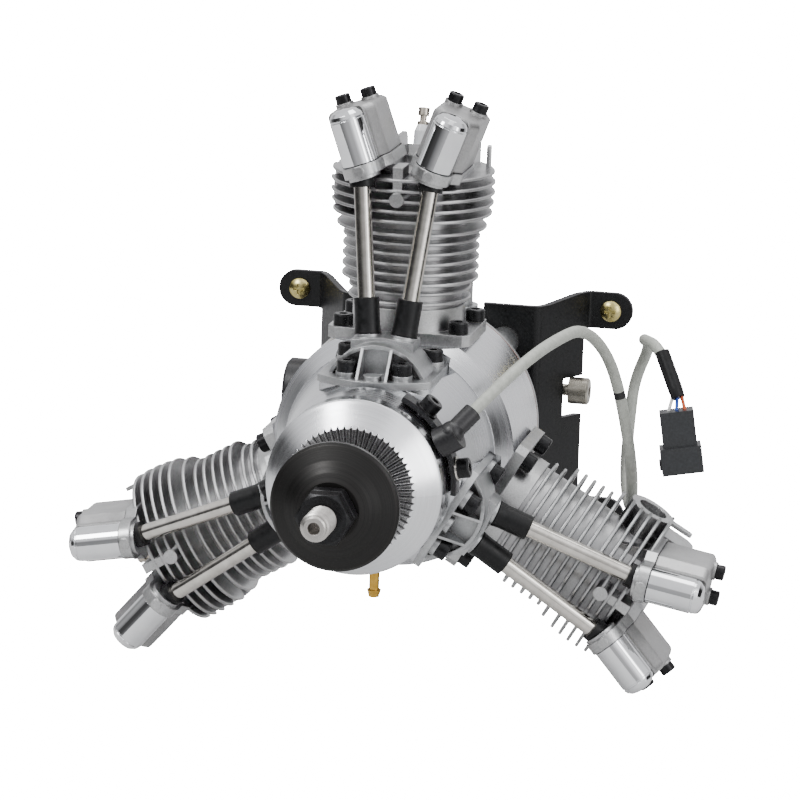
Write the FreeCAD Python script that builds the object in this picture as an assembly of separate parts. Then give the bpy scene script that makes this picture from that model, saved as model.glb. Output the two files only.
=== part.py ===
import FreeCAD, Part
import math
import os

# Three-cylinder four-stroke radial engine for a model aircraft, in millimetres.
# Frame of the finished part: +X right seen from the propeller, +Y back, +Z up,
# origin at the centre of the four firewall screws, in the plane of the firewall.
# The pieces are drawn about the plane of the cylinders: a station is a place along Y,
# counted from that plane. A cylinder is drawn upright, with r its height on +Z,
# and is then turned about the crankshaft.

Vec = FreeCAD.Vector
ORIGIN = Vec(0, 0, 0)
AX_X = Vec(1, 0, 0)
AX_Y = Vec(0, 1, 0)
AX_Z = Vec(0, 0, 1)

# Whole engine
firewall_station = 88.0
cylinder_count = 3
cylinder_step = 360.0 / cylinder_count

# Running gear
bore_radius = 15.5
crank_throw = 13.5
rod_length = 52.0
rod_thickness = 4.0
rod_pitch = 4.5
rod_small_end_radius = 4.8
rod_big_end_radius = 8.2
rod_shank_width = 5.5
wrist_pin_radius = 2.5
wrist_pin_length = 28.0
crank_pin_radius = 5.0
crank_pin_gap = 0.4
piston_crown_height = 12.5
piston_skirt_depth = 8.0
piston_wall = 2.2
piston_crown_thickness = 2.6
piston_boss_gap = 14.0
piston_ring_height = 1.0
piston_ring_depth = 1.3
piston_ring_drop = 3.0
running_gap = 0.04
fit_gap = 0.02

# Crankshaft
shaft_radius = 5.0
journal_radius = 6.0
shaft_tip_station = -146.7
tip_face_radius = 3.5
tip_step_radius = 4.1
tip_step_length = 1.4
thread_root_radius = 4.3
thread_pitch = 1.25
thread_crest = 0.35
tip_hole_radius = 2.1
tip_hole_depth = 10.0
web_front_station = -14.5
web_thickness = 6.5
counterweight_radius = 27.5
counterweight_half_angle = 58.0
web_arm_radius = 9.0

# Timing gears: crank gear, two-step idler and the ring gear inside the cam ring
gear_module = 0.6
crank_gear_teeth = 24
idler_large_teeth = 20
idler_small_teeth = 16
ring_gear_teeth = 60
gear_width = 4.5
front_gears_station = -39.0
rear_gears_station = -33.2
idler_pin_radius = 2.0
idler_pin_length = 12.6
tooth_share = 0.40
tooth_tip_share = 0.17

# Cam ring
cam_base_radius = 20.5
cam_lobe_radius = 18.8
cam_lobe_top = 23.3
cam_track_width = 3.5
cam_tracks_station = -46.5
cam_front_station = -49.6
cam_plate_thickness = 2.6
cam_sleeve_radius = 9.0
cam_sleeve_length = 4.4
ring_gear_wall_gap = 0.3

# Bearings
rear_bearing_radius = 14.0
rear_bearing_width = 8.0
rear_bearing_station = -24.0
front_bearing_radius = 11.0
front_bearing_width = 6.0
front_bearing_station = -67.0

# Crankcase
case_radius = 43.2
case_front_radius = 37.8
case_front_station = -27.0
case_shoulder_station = -20.0
case_back_station = 27.0
case_bore_radius = 33.0
case_wall_station = -19.0
bearing_boss_radius = 18.0
bearing_lip_radius = 8.0
gasket_thickness = 0.5

# Front housing
nose_front_station = -77.5
nose_front_radius = 29.5
nose_back_radius = 37.6
nose_cavity_radius = 25.0
nose_cavity_station = -50.2
nose_shaft_hole_radius = 6.5
nose_edge_chamfer = 1.2

# Tappet housing, one to a cylinder, on a pad of the front housing
tappet_plate_seat = 29.8
tappet_plate_thickness = 2.5
tappet_plate_half_width = 20.0
tappet_plate_back = -24.6
tappet_plate_corner = -57.0
tappet_plate_front = -65.0
tappet_pad_inset = 0.7
arch_radius = 18.6
arch_centre = 24.4
arch_front = -54.0
arch_pocket_back = -51.0
arch_back = -33.6
arch_rim = 1.3
arch_rib_offset = 4.6
arch_rib_thickness = 1.0
tappet_ridge_height = 44.2
tappet_shoulder_height = 42.8
tappet_shoulder_half_width = 11.0
tappet_block_front = -46.0
tappet_guide_wall = 1.7
tappet_guide_bottom = 26.2
tappet_screw_boss_radius = 3.8
tappet_screw_boss_height = 1.8
tappet_screws = ((9.67, -57.3), (15.25, -30.2))
oil_plug_radius = 3.2
oil_plug_height = 1.6
oil_plug_station = -60.5

# Pushrod line, as places (t, station, r) on its axis on the + side
pushrod_low = Vec(7.96, -36.68, 57.71)
pushrod_high = Vec(11.98, -30.2, 93.77)
tappet_radius = 2.9
tappet_foot_height = 24.2
tappet_length = 15.0
pushrod_radius = 1.25
pushrod_ball_radius = 1.7
pushrod_ball_height = 100.0
tube_outer_radius = 3.0
tube_inner_radius = 2.6
tube_low_height = 45.0
boot_radius = 4.4
boot_low_radius = 4.7
boot_low_height = 43.9
boot_high_height = 56.2
seal_radius = 4.4
seal_length = 2.8
seal_room_depth = 18.0

# Cylinder and head, one casting
seat_height = 37.0
skirt_radius = 17.0
skirt_bottom = 30.0
flange_half_width = 25.5
flange_half_depth = 17.5
flange_station = -1.5
flange_thickness = 4.2
flange_corner = 6.0
neck_radius = 20.0
neck_top = 49.0
core_radius = 18.5
fin_pitch = 3.65
fin_thickness = 1.25
fin_tip_chamfer = 0.35
barrel_fin_low = 51.2
barrel_fin_radii = (21.7, 21.7, 24.3, 24.3, 24.3, 24.3, 24.3, 26.6)
head_fin_low = 81.6
head_fin_radii = (28.2, 28.7, 29.0, 29.0, 28.7)
head_top = 97.6
flange_screws = ((20.75, -13.86), (21.9, 10.9))
roof_height = 82.0
front_boss_height = 89.6
front_boss_radius = 2.6
front_boss_station = -29.5
bridge_half_width = 1.5
bridge_top_half_width = 1.9
bridge_station = -28.4
bridge_thickness = 10.4
bridge_top = 101.0
exhaust_height = 88.5
exhaust_station = 2.5
exhaust_boss_radius = 8.6
exhaust_boss_reach = 27.4
exhaust_face_margin = 0.3
exhaust_thread_radius = 5.5
exhaust_thread_depth = 7.0
port_radius = 4.4
intake_height = 90.0
intake_offset = 10.0
intake_boss_radius = 7.5
intake_boss_reach = 29.6
top_fin_offsets = (8.2, 14.0, 19.8, 25.4)
top_fin_rises = (8.2, 9.4, 10.3, 7.6)
top_fin_front = 5.5
top_fin_corner = 5.0
top_fin_thickness = 1.3

# Rocker boxes: a box frame has u along the tilted box axis and p across it
box_tilt = 19.7
box_offset = -22.2
box_front_radius = 6.2
box_front_station = -30.2
box_half_width = 8.7
box_back_station = 2.5
box_shoulder_front = -25.0
box_shoulder_back = -21.0
box_corner = 3.5
box_flange_low = 96.2
box_floor_thickness = 4.0
box_flange_high = box_flange_low + box_floor_thickness
box_flange_lip = 0.7
flange_pin_radius = 1.9
flange_pin_stand = 0.3
box_tower_half_width = 7.4
box_tower_front = -13.0
box_seal_thickness = 0.3
box_cover_height = 19.2
box_top = box_flange_high + box_cover_height
box_wall = 1.5
box_screw_boss_height = 0.9
box_screw_boss_radius = 3.3
box_screw_offset = 4.75
box_screw_station = -8.0
cap_radius = 6.2
cap_station = box_front_station
cap_wall = 1.0
cap_dome_height = 3.2
cap_groove_drop = 2.6
cap_groove_depth = 0.3
cap_split_station = -27.5

# Rockers and valves, in the box frame
rocker_pivot_station = -16.3
rocker_pivot_rise = 5.3
rocker_pivot_height = box_flange_high + rocker_pivot_rise
rocker_shaft_radius = 2.5
rocker_shaft_length = 13.6
rocker_hub_radius = 4.3
rocker_hub_half_width = 3.2
rocker_half_width = 2.4
rocker_adjuster_station = -28.6
adjuster_radius = 1.5
adjuster_ball_radius = 1.7
adjuster_rise = 7.5
adjuster_top = rocker_pivot_height + adjuster_rise
adjuster_nut_flats = 5.0
adjuster_nut_height = 2.2
lash = 0.25
valve_station = -3.8
valve_stem_radius = 1.5
valve_head_radius = 5.6
valve_head_thickness = 1.0
valve_seat_gap = 0.05
valve_rise = 3.8
valve_top = box_flange_high + valve_rise
valve_throat_radius = 4.7
valve_throat_length = 9.0
rocker_pad_radius = 3.0
retainer_radius = 3.7
retainer_thickness = 2.0
retainer_rise = 0.8
retainer_height = box_flange_high + retainer_rise
spring_pocket_radius = 4.7
spring_pocket_depth = 9.2
spring_pocket_bottom = box_flange_high - spring_pocket_depth
spring_radius = 3.5
spring_wire_radius = 0.45
spring_turns = 5.0
pedestal_inner = 3.5
pedestal_outer = 6.8
pedestal_half_depth = 4.2

# Spark plug
plug_station = 5.2
plug_foot_height = 83.6
plug_tilt = 17.0
plug_thread_radius = 4.0
plug_seat_reach = 15.6
plug_hex_flats = 11.0
plug_hex_height = 4.0
plug_insulator_radius = 2.9
plug_insulator_length = 7.6
plug_terminal_radius = 2.05
plug_terminal_length = 6.2
plug_well_radius = 6.9
plug_boss_radius = 7.4
plug_boss_length = 6.0

# Drive hub, washer and nuts
hub_face_station = -93.0
hub_face_radius = 21.9
hub_face_inner = 12.5
hub_cone_station = -86.0
hub_rim_radius = 30.7
hub_back_station = -79.0
hub_recess_radius = 26.5
hub_recess_depth = 4.0
hub_neck_radius = 8.0
serration_count = 60
serration_depth = 0.9
serration_width = 1.25
serration_inner = 15.5
magnet_angle = 33.0
magnet_station = -82.6
magnet_radius = 2.3
magnet_depth = 3.0
washer_back_station = -113.0
washer_rim_thickness = 3.0
washer_radius = 22.2
washer_dome_radius = 10.0
washer_front_station = -122.0
nut_flats = 17.0
nut_thickness = 6.0
nut_chamfer_radius = 9.2

# Screws: head radius, head height and shank radius
m2_head_radius = 1.9
m2_head_height = 2.0
m2_radius = 1.0
m3_head_radius = 2.75
m3_head_height = 3.0
m3_radius = 1.5
m4_head_radius = 3.5
m4_head_height = 4.0
m4_radius = 2.0
m5_head_radius = 4.25
m5_head_height = 5.0
m5_radius = 2.5
screw_hole_gap = 0.05
m4_screw_length = 9.0
m3_cover_screw_length = 26.0

# Rear cover with the intake chamber
rear_flange_thickness = 3.0
rear_body_radius = 36.0
rear_body_station = 50.0
chamber_radius = 31.0
chamber_front = 33.0
chamber_back = 47.0
rear_screw_circle = 39.6
rear_screw_count = 6
rear_screw_angle = 30.0
rear_screw_length = 8.0
inlet_height = -4.0
inlet_neck_radius = 11.0
inlet_bore_radius = 7.0
pipe_station = 38.5
pipe_outer_radius = 5.6
pipe_wall = 0.8
pipe_bend_radius = 8.0
pipe_collar_radius = 7.4
pipe_collar_length = 3.0
pipe_screw_offset = 8.2
pipe_lug_radius = 3.1
pipe_socket_radius = 7.6
pipe_socket_height = 41.0
pipe_insert = 6.0

# Mounting bracket, one bent sheet
bracket_front = 60.0
bracket_thickness = 2.5
bracket_half_width = 36.5
bracket_top = 37.5
bracket_bottom = -40.0
web_back_half_width = 49.8
web_back_station = 83.0
ear_high = 32.8
ear_low = -45.2
ear_height = 13.6
ear_reach = 67.0
ear_hole_offset = 59.0
ear_corner = 6.6
bracket_bend_radius = 3.6
bracket_cut_half_width = 15.8
bracket_cut_bottom = 23.0
bracket_cut_corner = 3.0
bracket_hole_offset = 24.0
bracket_boss_radius = 5.4
slope_start = 66.0
slope_end = 81.0
notch_front = 73.5
notch_low = -6.2
notch_high = 8.5
funnel_notch_gap = 1.4
stud_length = 14.0
stud_neck_step = 0.35
ear_hole_radius = 2.25
pan_head_radius = 3.9
pan_head_height = 2.6

# Carburettor, its elbow and air funnel
carb_station = 76.0
elbow_left = -9.0
elbow_right = 14.0
carb_half_depth = 11.4
carb_half_height = 12.0
insulator_thickness = 2.0
carb_length = 24.0
carb_bore_radius = 6.35
funnel_length = 25.3
funnel_radius = 12.0
funnel_throat_radius = 8.0
pump_cover_thickness = 4.0
stop_screw_station = 78.0
stop_screw_height = 3.5
stop_screw_head_left = 46.0
stop_screw_head_length = 7.4
stop_screw_head_radius = 5.0
stop_screw_radius = 2.2
spindle_offset = 12.0
spindle_radius = 1.5
butterfly_radius = 6.2
butterfly_thickness = 0.8
lever_length = 11.0
lever_rest_angle = -60.0
lever_thickness = 2.0
lever_half_width = 2.6
lever_hole_radius = 1.0
lever_gap = 1.5

# Hose nipples
breather_station = -45.0
breather_top = -33.0
breather_hex_bottom = -38.5
breather_bottom = -48.5
nipple_hex_flats = 7.0
nipple_radius = 1.8
nipple_barb_radius = 2.5
nipple_bore_radius = 0.9

# Speed sensor and its cable
sensor_angle = 60.0
sensor_screw_spread = 20.0
sensor_strap_spread = 35.5
sensor_screw_station = -70.0
strap_thickness = 2.4
strap_width = 7.0
sensor_body_centre = Vec(30.2, -77.0, 17.9)
sensor_body_radius = 5.2
sensor_body_length = 12.5
sensor_tube_radius = 3.4
sensor_tube_length = 10.5
sensor_washer_radius = 4.3
sensor_washer_thickness = 0.6
cable_exit = Vec(37.8, -72.0, 26.5)
cable_radius = 2.1


def rod(radius, start, end):
    """A round bar between two points."""
    return Part.makeCylinder(radius, (end - start).Length, start, end - start)


def taper(radius_start, radius_end, start, end):
    """A cone frustum between two points."""
    return Part.makeCone(radius_start, radius_end, (end - start).Length, start, end - start)


def tube(outer, inner, start, end):
    """A round tube between two points."""
    return rod(outer, start, end).cut(rod(inner, start, end))


def block(x_low, x_high, y_low, y_high, z_low, z_high):
    """A box between two corners."""
    return Part.makeBox(x_high - x_low, y_high - y_low, z_high - z_low, Vec(x_low, y_low, z_low))


def fuse(shapes):
    """One solid from shapes that overlap or share faces."""
    whole = shapes[0].multiFuse(shapes[1:])
    return whole.removeSplitter()


def cut(shape, tools):
    """The shape less every tool."""
    return shape.cut(Part.makeCompound(tools)) if len(tools) > 1 else shape.cut(tools[0])


def revolve_y(profile):
    """A solid of revolution about the crankshaft from (radius, station) corners."""
    corners = [Vec(radius, station, 0) for radius, station in profile]
    face = Part.Face(Part.makePolygon(corners + corners[:1]))
    return face.revolve(ORIGIN, AX_Y, 360)


def revolve_z(profile):
    """A solid of revolution about a cylinder's axis from (radius, height) corners."""
    corners = [Vec(radius, 0, height) for radius, height in profile]
    face = Part.Face(Part.makePolygon(corners + corners[:1]))
    return face.revolve(ORIGIN, AX_Z, 360)


def prism(corners, direction):
    """A straight prism from a closed outline of points."""
    return Part.Face(Part.makePolygon(list(corners) + [corners[0]])).extrude(direction)


def hexagon(flats, start, end):
    """A hexagonal bar between two points, by its width across flats."""
    corner_radius = flats / math.sqrt(3.0)
    corners = []
    for corner in range(6):
        angle = math.radians(60.0 * corner)
        corners.append(Vec(corner_radius * math.cos(angle), corner_radius * math.sin(angle), 0))
    bar = prism(corners, Vec(0, 0, (end - start).Length))
    bar.Placement = FreeCAD.Placement(start, FreeCAD.Rotation(AX_Z, end - start))
    return bar


def mirrored(shape):
    """The same shape on the other side of the cylinder's middle plane."""
    return shape.mirror(ORIGIN, AX_X)


def both_sides(shape):
    """A shape and its mirror image."""
    return [shape, mirrored(shape)]


def on_cylinder(shape, index):
    """A shape of the upright cylinder, turned to one of the cylinders."""
    return shape.rotated(ORIGIN, AX_Y, cylinder_step * index)


def on_each_cylinder(shapes):
    """Copies of shapes for every cylinder."""
    copies = []
    for index in range(cylinder_count):
        copies.extend([on_cylinder(shape, index) for shape in shapes])
    return copies


def boxed(shape):
    """A shape of the rocker box frame, moved to its place on the upright cylinder."""
    return shape.translated(Vec(box_offset, 0, 0)).rotated(ORIGIN, AX_Y, box_tilt)


def cap_screw(seat, direction, head_radius, head_height, radius, length):
    """A socket head screw whose head sits at a point and whose shank runs the other way."""
    axis = Vec(direction).normalize()
    top = seat + axis * head_height
    edge = 0.12 * head_radius
    head = rod(head_radius, seat, top - axis * edge)
    rim = taper(head_radius, head_radius - edge, top - axis * edge, top)
    socket = hexagon(1.45 * radius, top - axis * (0.55 * head_height), top)
    shank = rod(radius, seat - axis * length, seat)
    return fuse([head, rim, shank]).cut(socket)


def m4_screw(seat, direction):
    """An M4 cap screw."""
    return cap_screw(seat, direction, m4_head_radius, m4_head_height, m4_radius, m4_screw_length)


def screw_hole(seat, direction, radius, length):
    """The hole that a screw of this length needs below its seat."""
    axis = Vec(direction).normalize()
    return rod(radius + screw_hole_gap, seat - axis * (length + 1.0), seat + axis)


def save(name, solids):
    """Write one sub-part, moved from the cylinders' plane to the firewall frame."""
    shape = solids[0] if len(solids) == 1 else Part.makeCompound(solids)
    to_frame = Vec(0, -firewall_station, -(ear_low + ear_high) / 2.0)
    shape.translated(to_frame).exportStep("parts/" + name + ".step")


# Places that several pieces share

pushrod_axis = (pushrod_high - pushrod_low).normalize()


def pushrod_point(height):
    """The point of the pushrod line at a height r on the upright cylinder."""
    return pushrod_low + pushrod_axis * ((height - pushrod_low.z) / pushrod_axis.z)


def box_point(across, station, height):
    """A point of the rocker box frame as a point of the upright cylinder."""
    tilt = math.radians(box_tilt)
    side = across + box_offset
    return Vec(height * math.sin(tilt) + side * math.cos(tilt), station,
               height * math.cos(tilt) - side * math.sin(tilt))


def pushrod_point_in_box(height):
    """The pushrod line's point at a height u of the rocker box."""
    tilt = math.radians(box_tilt)
    up = Vec(math.sin(tilt), 0, math.cos(tilt))
    along = (height - pushrod_low.dot(up)) / pushrod_axis.dot(up)
    return pushrod_low + pushrod_axis * along


def nose_radius(station):
    """The front housing's outer radius at a station."""
    share = (station - nose_front_station) / (case_front_station - nose_front_station)
    return nose_front_radius + share * (nose_back_radius - nose_front_radius)


idler_distance = gear_module * (crank_gear_teeth + idler_small_teeth) / 2.0
gasket_back = case_back_station + gasket_thickness
flange_top = seat_height + flange_thickness
plate_top = tappet_plate_seat + tappet_plate_thickness
carb_left = elbow_left - insulator_thickness - carb_length
carb_right = elbow_left - insulator_thickness
spindle_x = carb_left + spindle_offset
ear_back = firewall_station
ear_front = firewall_station - bracket_thickness


# Timing gears

def tooth_outline(teeth, centre, phase, station, direction):
    """The closed outline of a spur gear; direction is 1 for teeth outside, -1 for inside."""
    pitch_radius = gear_module * teeth / 2.0
    tip = pitch_radius + direction * 0.8 * gear_module
    root = pitch_radius - direction * 1.25 * gear_module
    pitch_angle = 2.0 * math.pi / teeth
    root_half = pitch_angle * tooth_share * 0.68
    tip_half = pitch_angle * tooth_tip_share / 1.6
    corners = []
    for tooth in range(teeth):
        middle = phase + tooth * pitch_angle
        for radius, offset in ((root, -root_half), (tip, -tip_half), (tip, tip_half), (root, root_half)):
            angle = middle + offset
            corners.append(centre + Vec(radius * math.cos(angle), station, radius * math.sin(angle)))
    return corners


def gear(teeth, centre, phase, station, direction=1):
    """A toothed prism about an axis along Y."""
    return prism(tooth_outline(teeth, centre, phase, station, direction), AX_Y * gear_width)


mesh_angle = -math.pi / 2.0
idler_centre = Vec(0, 0, -idler_distance)


def make_idler_gear():
    facing = mesh_angle + math.pi + math.pi / idler_small_teeth
    small = gear(idler_small_teeth, idler_centre, facing, front_gears_station)
    large = gear(idler_large_teeth, idler_centre, mesh_angle, rear_gears_station)
    start = idler_centre + AX_Y * front_gears_station
    end = idler_centre + AX_Y * (rear_gears_station + gear_width)
    hub_radius = gear_module * idler_small_teeth / 2.0 - 1.25 * gear_module
    body = fuse([small, large, rod(hub_radius, start, end)])
    bore = rod(idler_pin_radius + running_gap, start - AX_Y, end + AX_Y)
    return body.cut(bore)


def make_cam_ring():
    tracks_end = cam_tracks_station + 2.0 * cam_track_width
    ring_end = rear_gears_station + gear_width
    front = AX_Y * cam_front_station
    body = rod(cam_base_radius, front, AX_Y * ring_end)
    lobe_shift = cam_lobe_top - cam_lobe_radius
    lobes = []
    for track, angle in enumerate((150.0, 250.0)):
        start = cam_tracks_station + track * cam_track_width
        lobe = rod(cam_lobe_radius, AX_Y * start, AX_Y * (start + cam_track_width))
        turned = math.radians(angle)
        shift = Vec(lobe_shift * math.sin(turned), 0, lobe_shift * math.cos(turned))
        lobes.append(lobe.translated(shift))
    ring_pitch = gear_module * ring_gear_teeth / 2.0
    root = ring_pitch + 1.25 * gear_module
    inside = rod(root - ring_gear_wall_gap + 0.3, AX_Y * (cam_front_station + cam_plate_thickness),
                 AX_Y * rear_gears_station)
    ring_space = mesh_angle + math.pi / ring_gear_teeth
    teeth_hole = gear(ring_gear_teeth, ORIGIN, ring_space, rear_gears_station, -1)
    bore = rod(cam_sleeve_radius + running_gap, front - AX_Y, AX_Y * tracks_end)
    return cut(fuse([body] + lobes), [inside, teeth_hole, bore])


# Crankshaft group

def thread_profile():
    """The stepped tip of the shaft and its thread as plain rings, up to the front nut."""
    front = shaft_tip_station + tip_step_length
    nut_front = washer_front_station - 2.0 * nut_thickness
    corners = [(0, shaft_tip_station), (tip_face_radius, shaft_tip_station),
               (tip_step_radius, front - 0.8), (tip_step_radius, front)]
    flank = (thread_pitch - thread_crest) / 2.0
    for index in range(int((nut_front - front) / thread_pitch)):
        ring = front + thread_pitch * index
        corners += [(thread_root_radius, ring), (shaft_radius, ring + flank),
                    (shaft_radius, ring + flank + thread_crest)]
    end = ring + thread_pitch
    return corners + [(thread_root_radius, end), (shaft_radius, end + flank)]


def make_crankshaft():
    web_back = web_front_station + web_thickness
    shaft = revolve_y(thread_profile() + [
        (shaft_radius, case_front_station), (journal_radius, case_front_station),
        (journal_radius, web_front_station), (0, web_front_station)])
    crank_gear = gear(crank_gear_teeth, ORIGIN, mesh_angle, front_gears_station)
    disc = rod(journal_radius + 3.0, AX_Y * web_front_station, AX_Y * web_back)
    pin_foot = Vec(0, web_front_station, crank_throw)
    pin_lobe = rod(web_arm_radius, pin_foot, pin_foot + AX_Y * web_thickness)
    arm = block(-web_arm_radius, web_arm_radius, web_front_station, web_back, 0, crank_throw)
    half = math.radians(counterweight_half_angle)
    reach = 2.0 * counterweight_radius
    wedge = prism([Vec(0, web_front_station, 0),
                   Vec(reach * math.sin(half), web_front_station, -reach * math.cos(half)),
                   Vec(-reach * math.sin(half), web_front_station, -reach * math.cos(half))],
                  AX_Y * web_thickness)
    weight = wedge.common(rod(counterweight_radius, AX_Y * web_front_station, AX_Y * web_back))
    first_rod = -rod_pitch - rod_thickness / 2.0
    pin_end = first_rod - crank_pin_gap
    pin = rod(crank_pin_radius, Vec(0, web_back, crank_throw), Vec(0, pin_end, crank_throw))
    tip_hole = rod(tip_hole_radius, AX_Y * shaft_tip_station, AX_Y * (shaft_tip_station + tip_hole_depth))
    body = fuse([shaft, crank_gear, disc, pin_lobe, arm, weight, pin])
    return body.cut(tip_hole)


def make_drive_hub():
    bore = shaft_radius + fit_gap
    body = revolve_y([
        (bore, hub_face_station), (hub_face_radius, hub_face_station),
        (hub_rim_radius - 0.5, hub_cone_station), (hub_rim_radius, hub_cone_station + 0.5),
        (hub_rim_radius, hub_back_station), (hub_recess_radius, hub_back_station),
        (hub_recess_radius, hub_back_station - hub_recess_depth),
        (hub_neck_radius, hub_back_station - hub_recess_depth),
        (hub_neck_radius, nose_front_station + 4.0), (bore, nose_front_station + 4.0)])
    grooves = []
    half = serration_width / 2.0
    groove = prism([Vec(-half, hub_face_station - 0.01, serration_inner),
                    Vec(half, hub_face_station - 0.01, serration_inner),
                    Vec(0, hub_face_station + serration_depth, serration_inner)],
                   AX_Z * (hub_face_radius + 1.0 - serration_inner))
    for index in range(serration_count):
        grooves.append(groove.rotated(ORIGIN, AX_Y, 360.0 * index / serration_count))
    recess = rod(hub_face_inner, AX_Y * (hub_face_station - 1.0), AX_Y * (hub_face_station + 0.8))
    angle = math.radians(magnet_angle)
    outward = Vec(math.sin(angle), 0, math.cos(angle))
    rim = outward * hub_rim_radius + AX_Y * magnet_station
    pocket = rod(magnet_radius, rim - outward * magnet_depth, rim + outward)
    magnet = rod(magnet_radius - fit_gap, rim - outward * magnet_depth, rim - outward * 0.5)
    return [cut(body, grooves + [recess, pocket]), magnet]


def make_prop_washer():
    bore = shaft_radius + fit_gap
    rim_front = washer_back_station - washer_rim_thickness
    body = revolve_y([
        (bore, washer_back_station), (washer_radius - 0.5, washer_back_station),
        (washer_radius, washer_back_station - 0.5), (washer_radius, rim_front + 0.8),
        (washer_radius - 0.8, rim_front), (0.75 * washer_radius, rim_front - 2.4),
        (0.58 * washer_radius, washer_front_station + 1.4),
        (washer_dome_radius, washer_front_station), (bore, washer_front_station)])
    return body


def make_nut(back_station):
    front_station = back_station - nut_thickness
    body = hexagon(nut_flats, AX_Y * front_station, AX_Y * back_station)
    crown = revolve_y([
        (0, front_station), (nut_chamfer_radius - 1.0, front_station),
        (nut_flats / 1.6, front_station + 1.6), (nut_flats / 1.6, back_station - 1.6),
        (nut_chamfer_radius - 1.0, back_station), (0, back_station)])
    bore = rod(shaft_radius + fit_gap, AX_Y * (front_station - 1.0), AX_Y * (back_station + 1.0))
    return body.common(crown).cut(bore)


# Pistons and connecting rods, drawn on the upright cylinder with the wrist pin at height 0

def make_piston():
    radius = bore_radius - running_gap
    body = rod(radius, AX_Z * -piston_skirt_depth, AX_Z * piston_crown_height)
    inner = radius - piston_wall
    hollow = rod(inner, AX_Z * (-piston_skirt_depth - 1.0),
                 AX_Z * (piston_crown_height - piston_crown_thickness))
    half_gap = piston_boss_gap / 2.0
    boss_radius = wrist_pin_radius + 2.2
    boss = rod(boss_radius, AX_Y * half_gap, AX_Y * inner)
    bosses = [boss, boss.mirror(ORIGIN, AX_Y)]
    skirt = body.cut(hollow)
    shell = fuse([skirt] + [part.common(body) for part in bosses])
    pin_hole = rod(wrist_pin_radius + fit_gap, AX_Y * -(radius + 1.0), AX_Y * (radius + 1.0))
    groove_top = piston_crown_height - piston_ring_drop
    groove_low = groove_top - piston_ring_height
    groove = tube(radius + 1.0, radius - piston_ring_depth, AX_Z * groove_low, AX_Z * groove_top)
    shell = cut(shell, [pin_hole, groove])
    ring = tube(radius, radius - piston_ring_depth + fit_gap,
                AX_Z * (groove_low + fit_gap), AX_Z * (groove_top - fit_gap))
    pin = tube(wrist_pin_radius, wrist_pin_radius - 1.0,
               AX_Y * (-wrist_pin_length / 2.0), AX_Y * (wrist_pin_length / 2.0))
    return [shell, ring, pin]


def make_rod():
    half = rod_thickness / 2.0
    far = AX_Z * -rod_length
    small = rod(rod_small_end_radius, AX_Y * -half, AX_Y * half)
    big = rod(rod_big_end_radius, far - AX_Y * half, far + AX_Y * half)
    narrow = rod_shank_width / 2.0
    shank = prism([Vec(-narrow, -half, 0), Vec(narrow, -half, 0),
                   Vec(narrow * 1.3, -half, -rod_length), Vec(-narrow * 1.3, -half, -rod_length)],
                  AX_Y * rod_thickness)
    body = fuse([small, big, shank])
    flute_low = -rod_length + rod_big_end_radius + 2.0
    flute_high = -rod_small_end_radius - 2.0
    flute = block(-narrow * 0.55, narrow * 0.55, half - 0.9, half + 1.0, flute_low, flute_high)
    small_bore = rod(wrist_pin_radius + running_gap, AX_Y * -(half + 1.0), AX_Y * (half + 1.0))
    big_bore = rod(crank_pin_radius + 0.3, far - AX_Y * (half + 1.0), far + AX_Y * (half + 1.0))
    return cut(body, [flute, flute.mirror(ORIGIN, AX_Y), small_bore, big_bore])


def wrist_height(index):
    """Height of a wrist pin with the crank pin straight up."""
    angle = math.radians(cylinder_step * index)
    along = crank_throw * math.cos(angle)
    aside = crank_throw * math.sin(angle)
    return along + math.sqrt(rod_length ** 2 - aside ** 2)


def rod_lean(index):
    """Lean of a rod from its cylinder's axis, in degrees, with the crank pin straight up."""
    aside = crank_throw * math.sin(math.radians(cylinder_step * index))
    return math.degrees(math.asin(aside / rod_length))


def place_piston(shapes, index):
    return [on_cylinder(shape.translated(AX_Z * wrist_height(index)), index) for shape in shapes]


def place_rod(shape, index):
    leaning = shape.rotated(ORIGIN, AX_Y, rod_lean(index))
    station = (index - 1) * rod_pitch
    return on_cylinder(leaning.translated(Vec(0, station, wrist_height(index))), index)


# Cylinder and head

def box_outline(grow):
    """The outline of the rocker box seen from above, grown by a distance."""
    front = box_front_radius + grow
    side = box_half_width + grow
    back = box_back_station + grow
    corner = box_corner
    slant = corner * (1.0 - math.sqrt(0.5))
    edges = [
        Part.Arc(Vec(-front, box_front_station, 0), Vec(0, box_front_station - front, 0),
                 Vec(front, box_front_station, 0)).toShape(),
        Part.makeLine(Vec(front, box_front_station, 0), Vec(front, box_shoulder_front, 0)),
        Part.makeLine(Vec(front, box_shoulder_front, 0), Vec(side, box_shoulder_back, 0)),
        Part.makeLine(Vec(side, box_shoulder_back, 0), Vec(side, back - corner, 0)),
        Part.Arc(Vec(side, back - corner, 0), Vec(side - slant, back - slant, 0),
                 Vec(side - corner, back, 0)).toShape(),
        Part.makeLine(Vec(side - corner, back, 0), Vec(corner - side, back, 0)),
        Part.Arc(Vec(corner - side, back, 0), Vec(slant - side, back - slant, 0),
                 Vec(-side, back - corner, 0)).toShape(),
        Part.makeLine(Vec(-side, back - corner, 0), Vec(-side, box_shoulder_back, 0)),
        Part.makeLine(Vec(-side, box_shoulder_back, 0), Vec(-front, box_shoulder_front, 0)),
        Part.makeLine(Vec(-front, box_shoulder_front, 0), Vec(-front, box_front_station, 0))]
    return Part.Face(Part.Wire(edges))


def box_slab(grow, low, high):
    """A slab with the rocker box's outline between two heights."""
    return box_outline(grow).extrude(AX_Z * (high - low)).translated(AX_Z * low)


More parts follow.
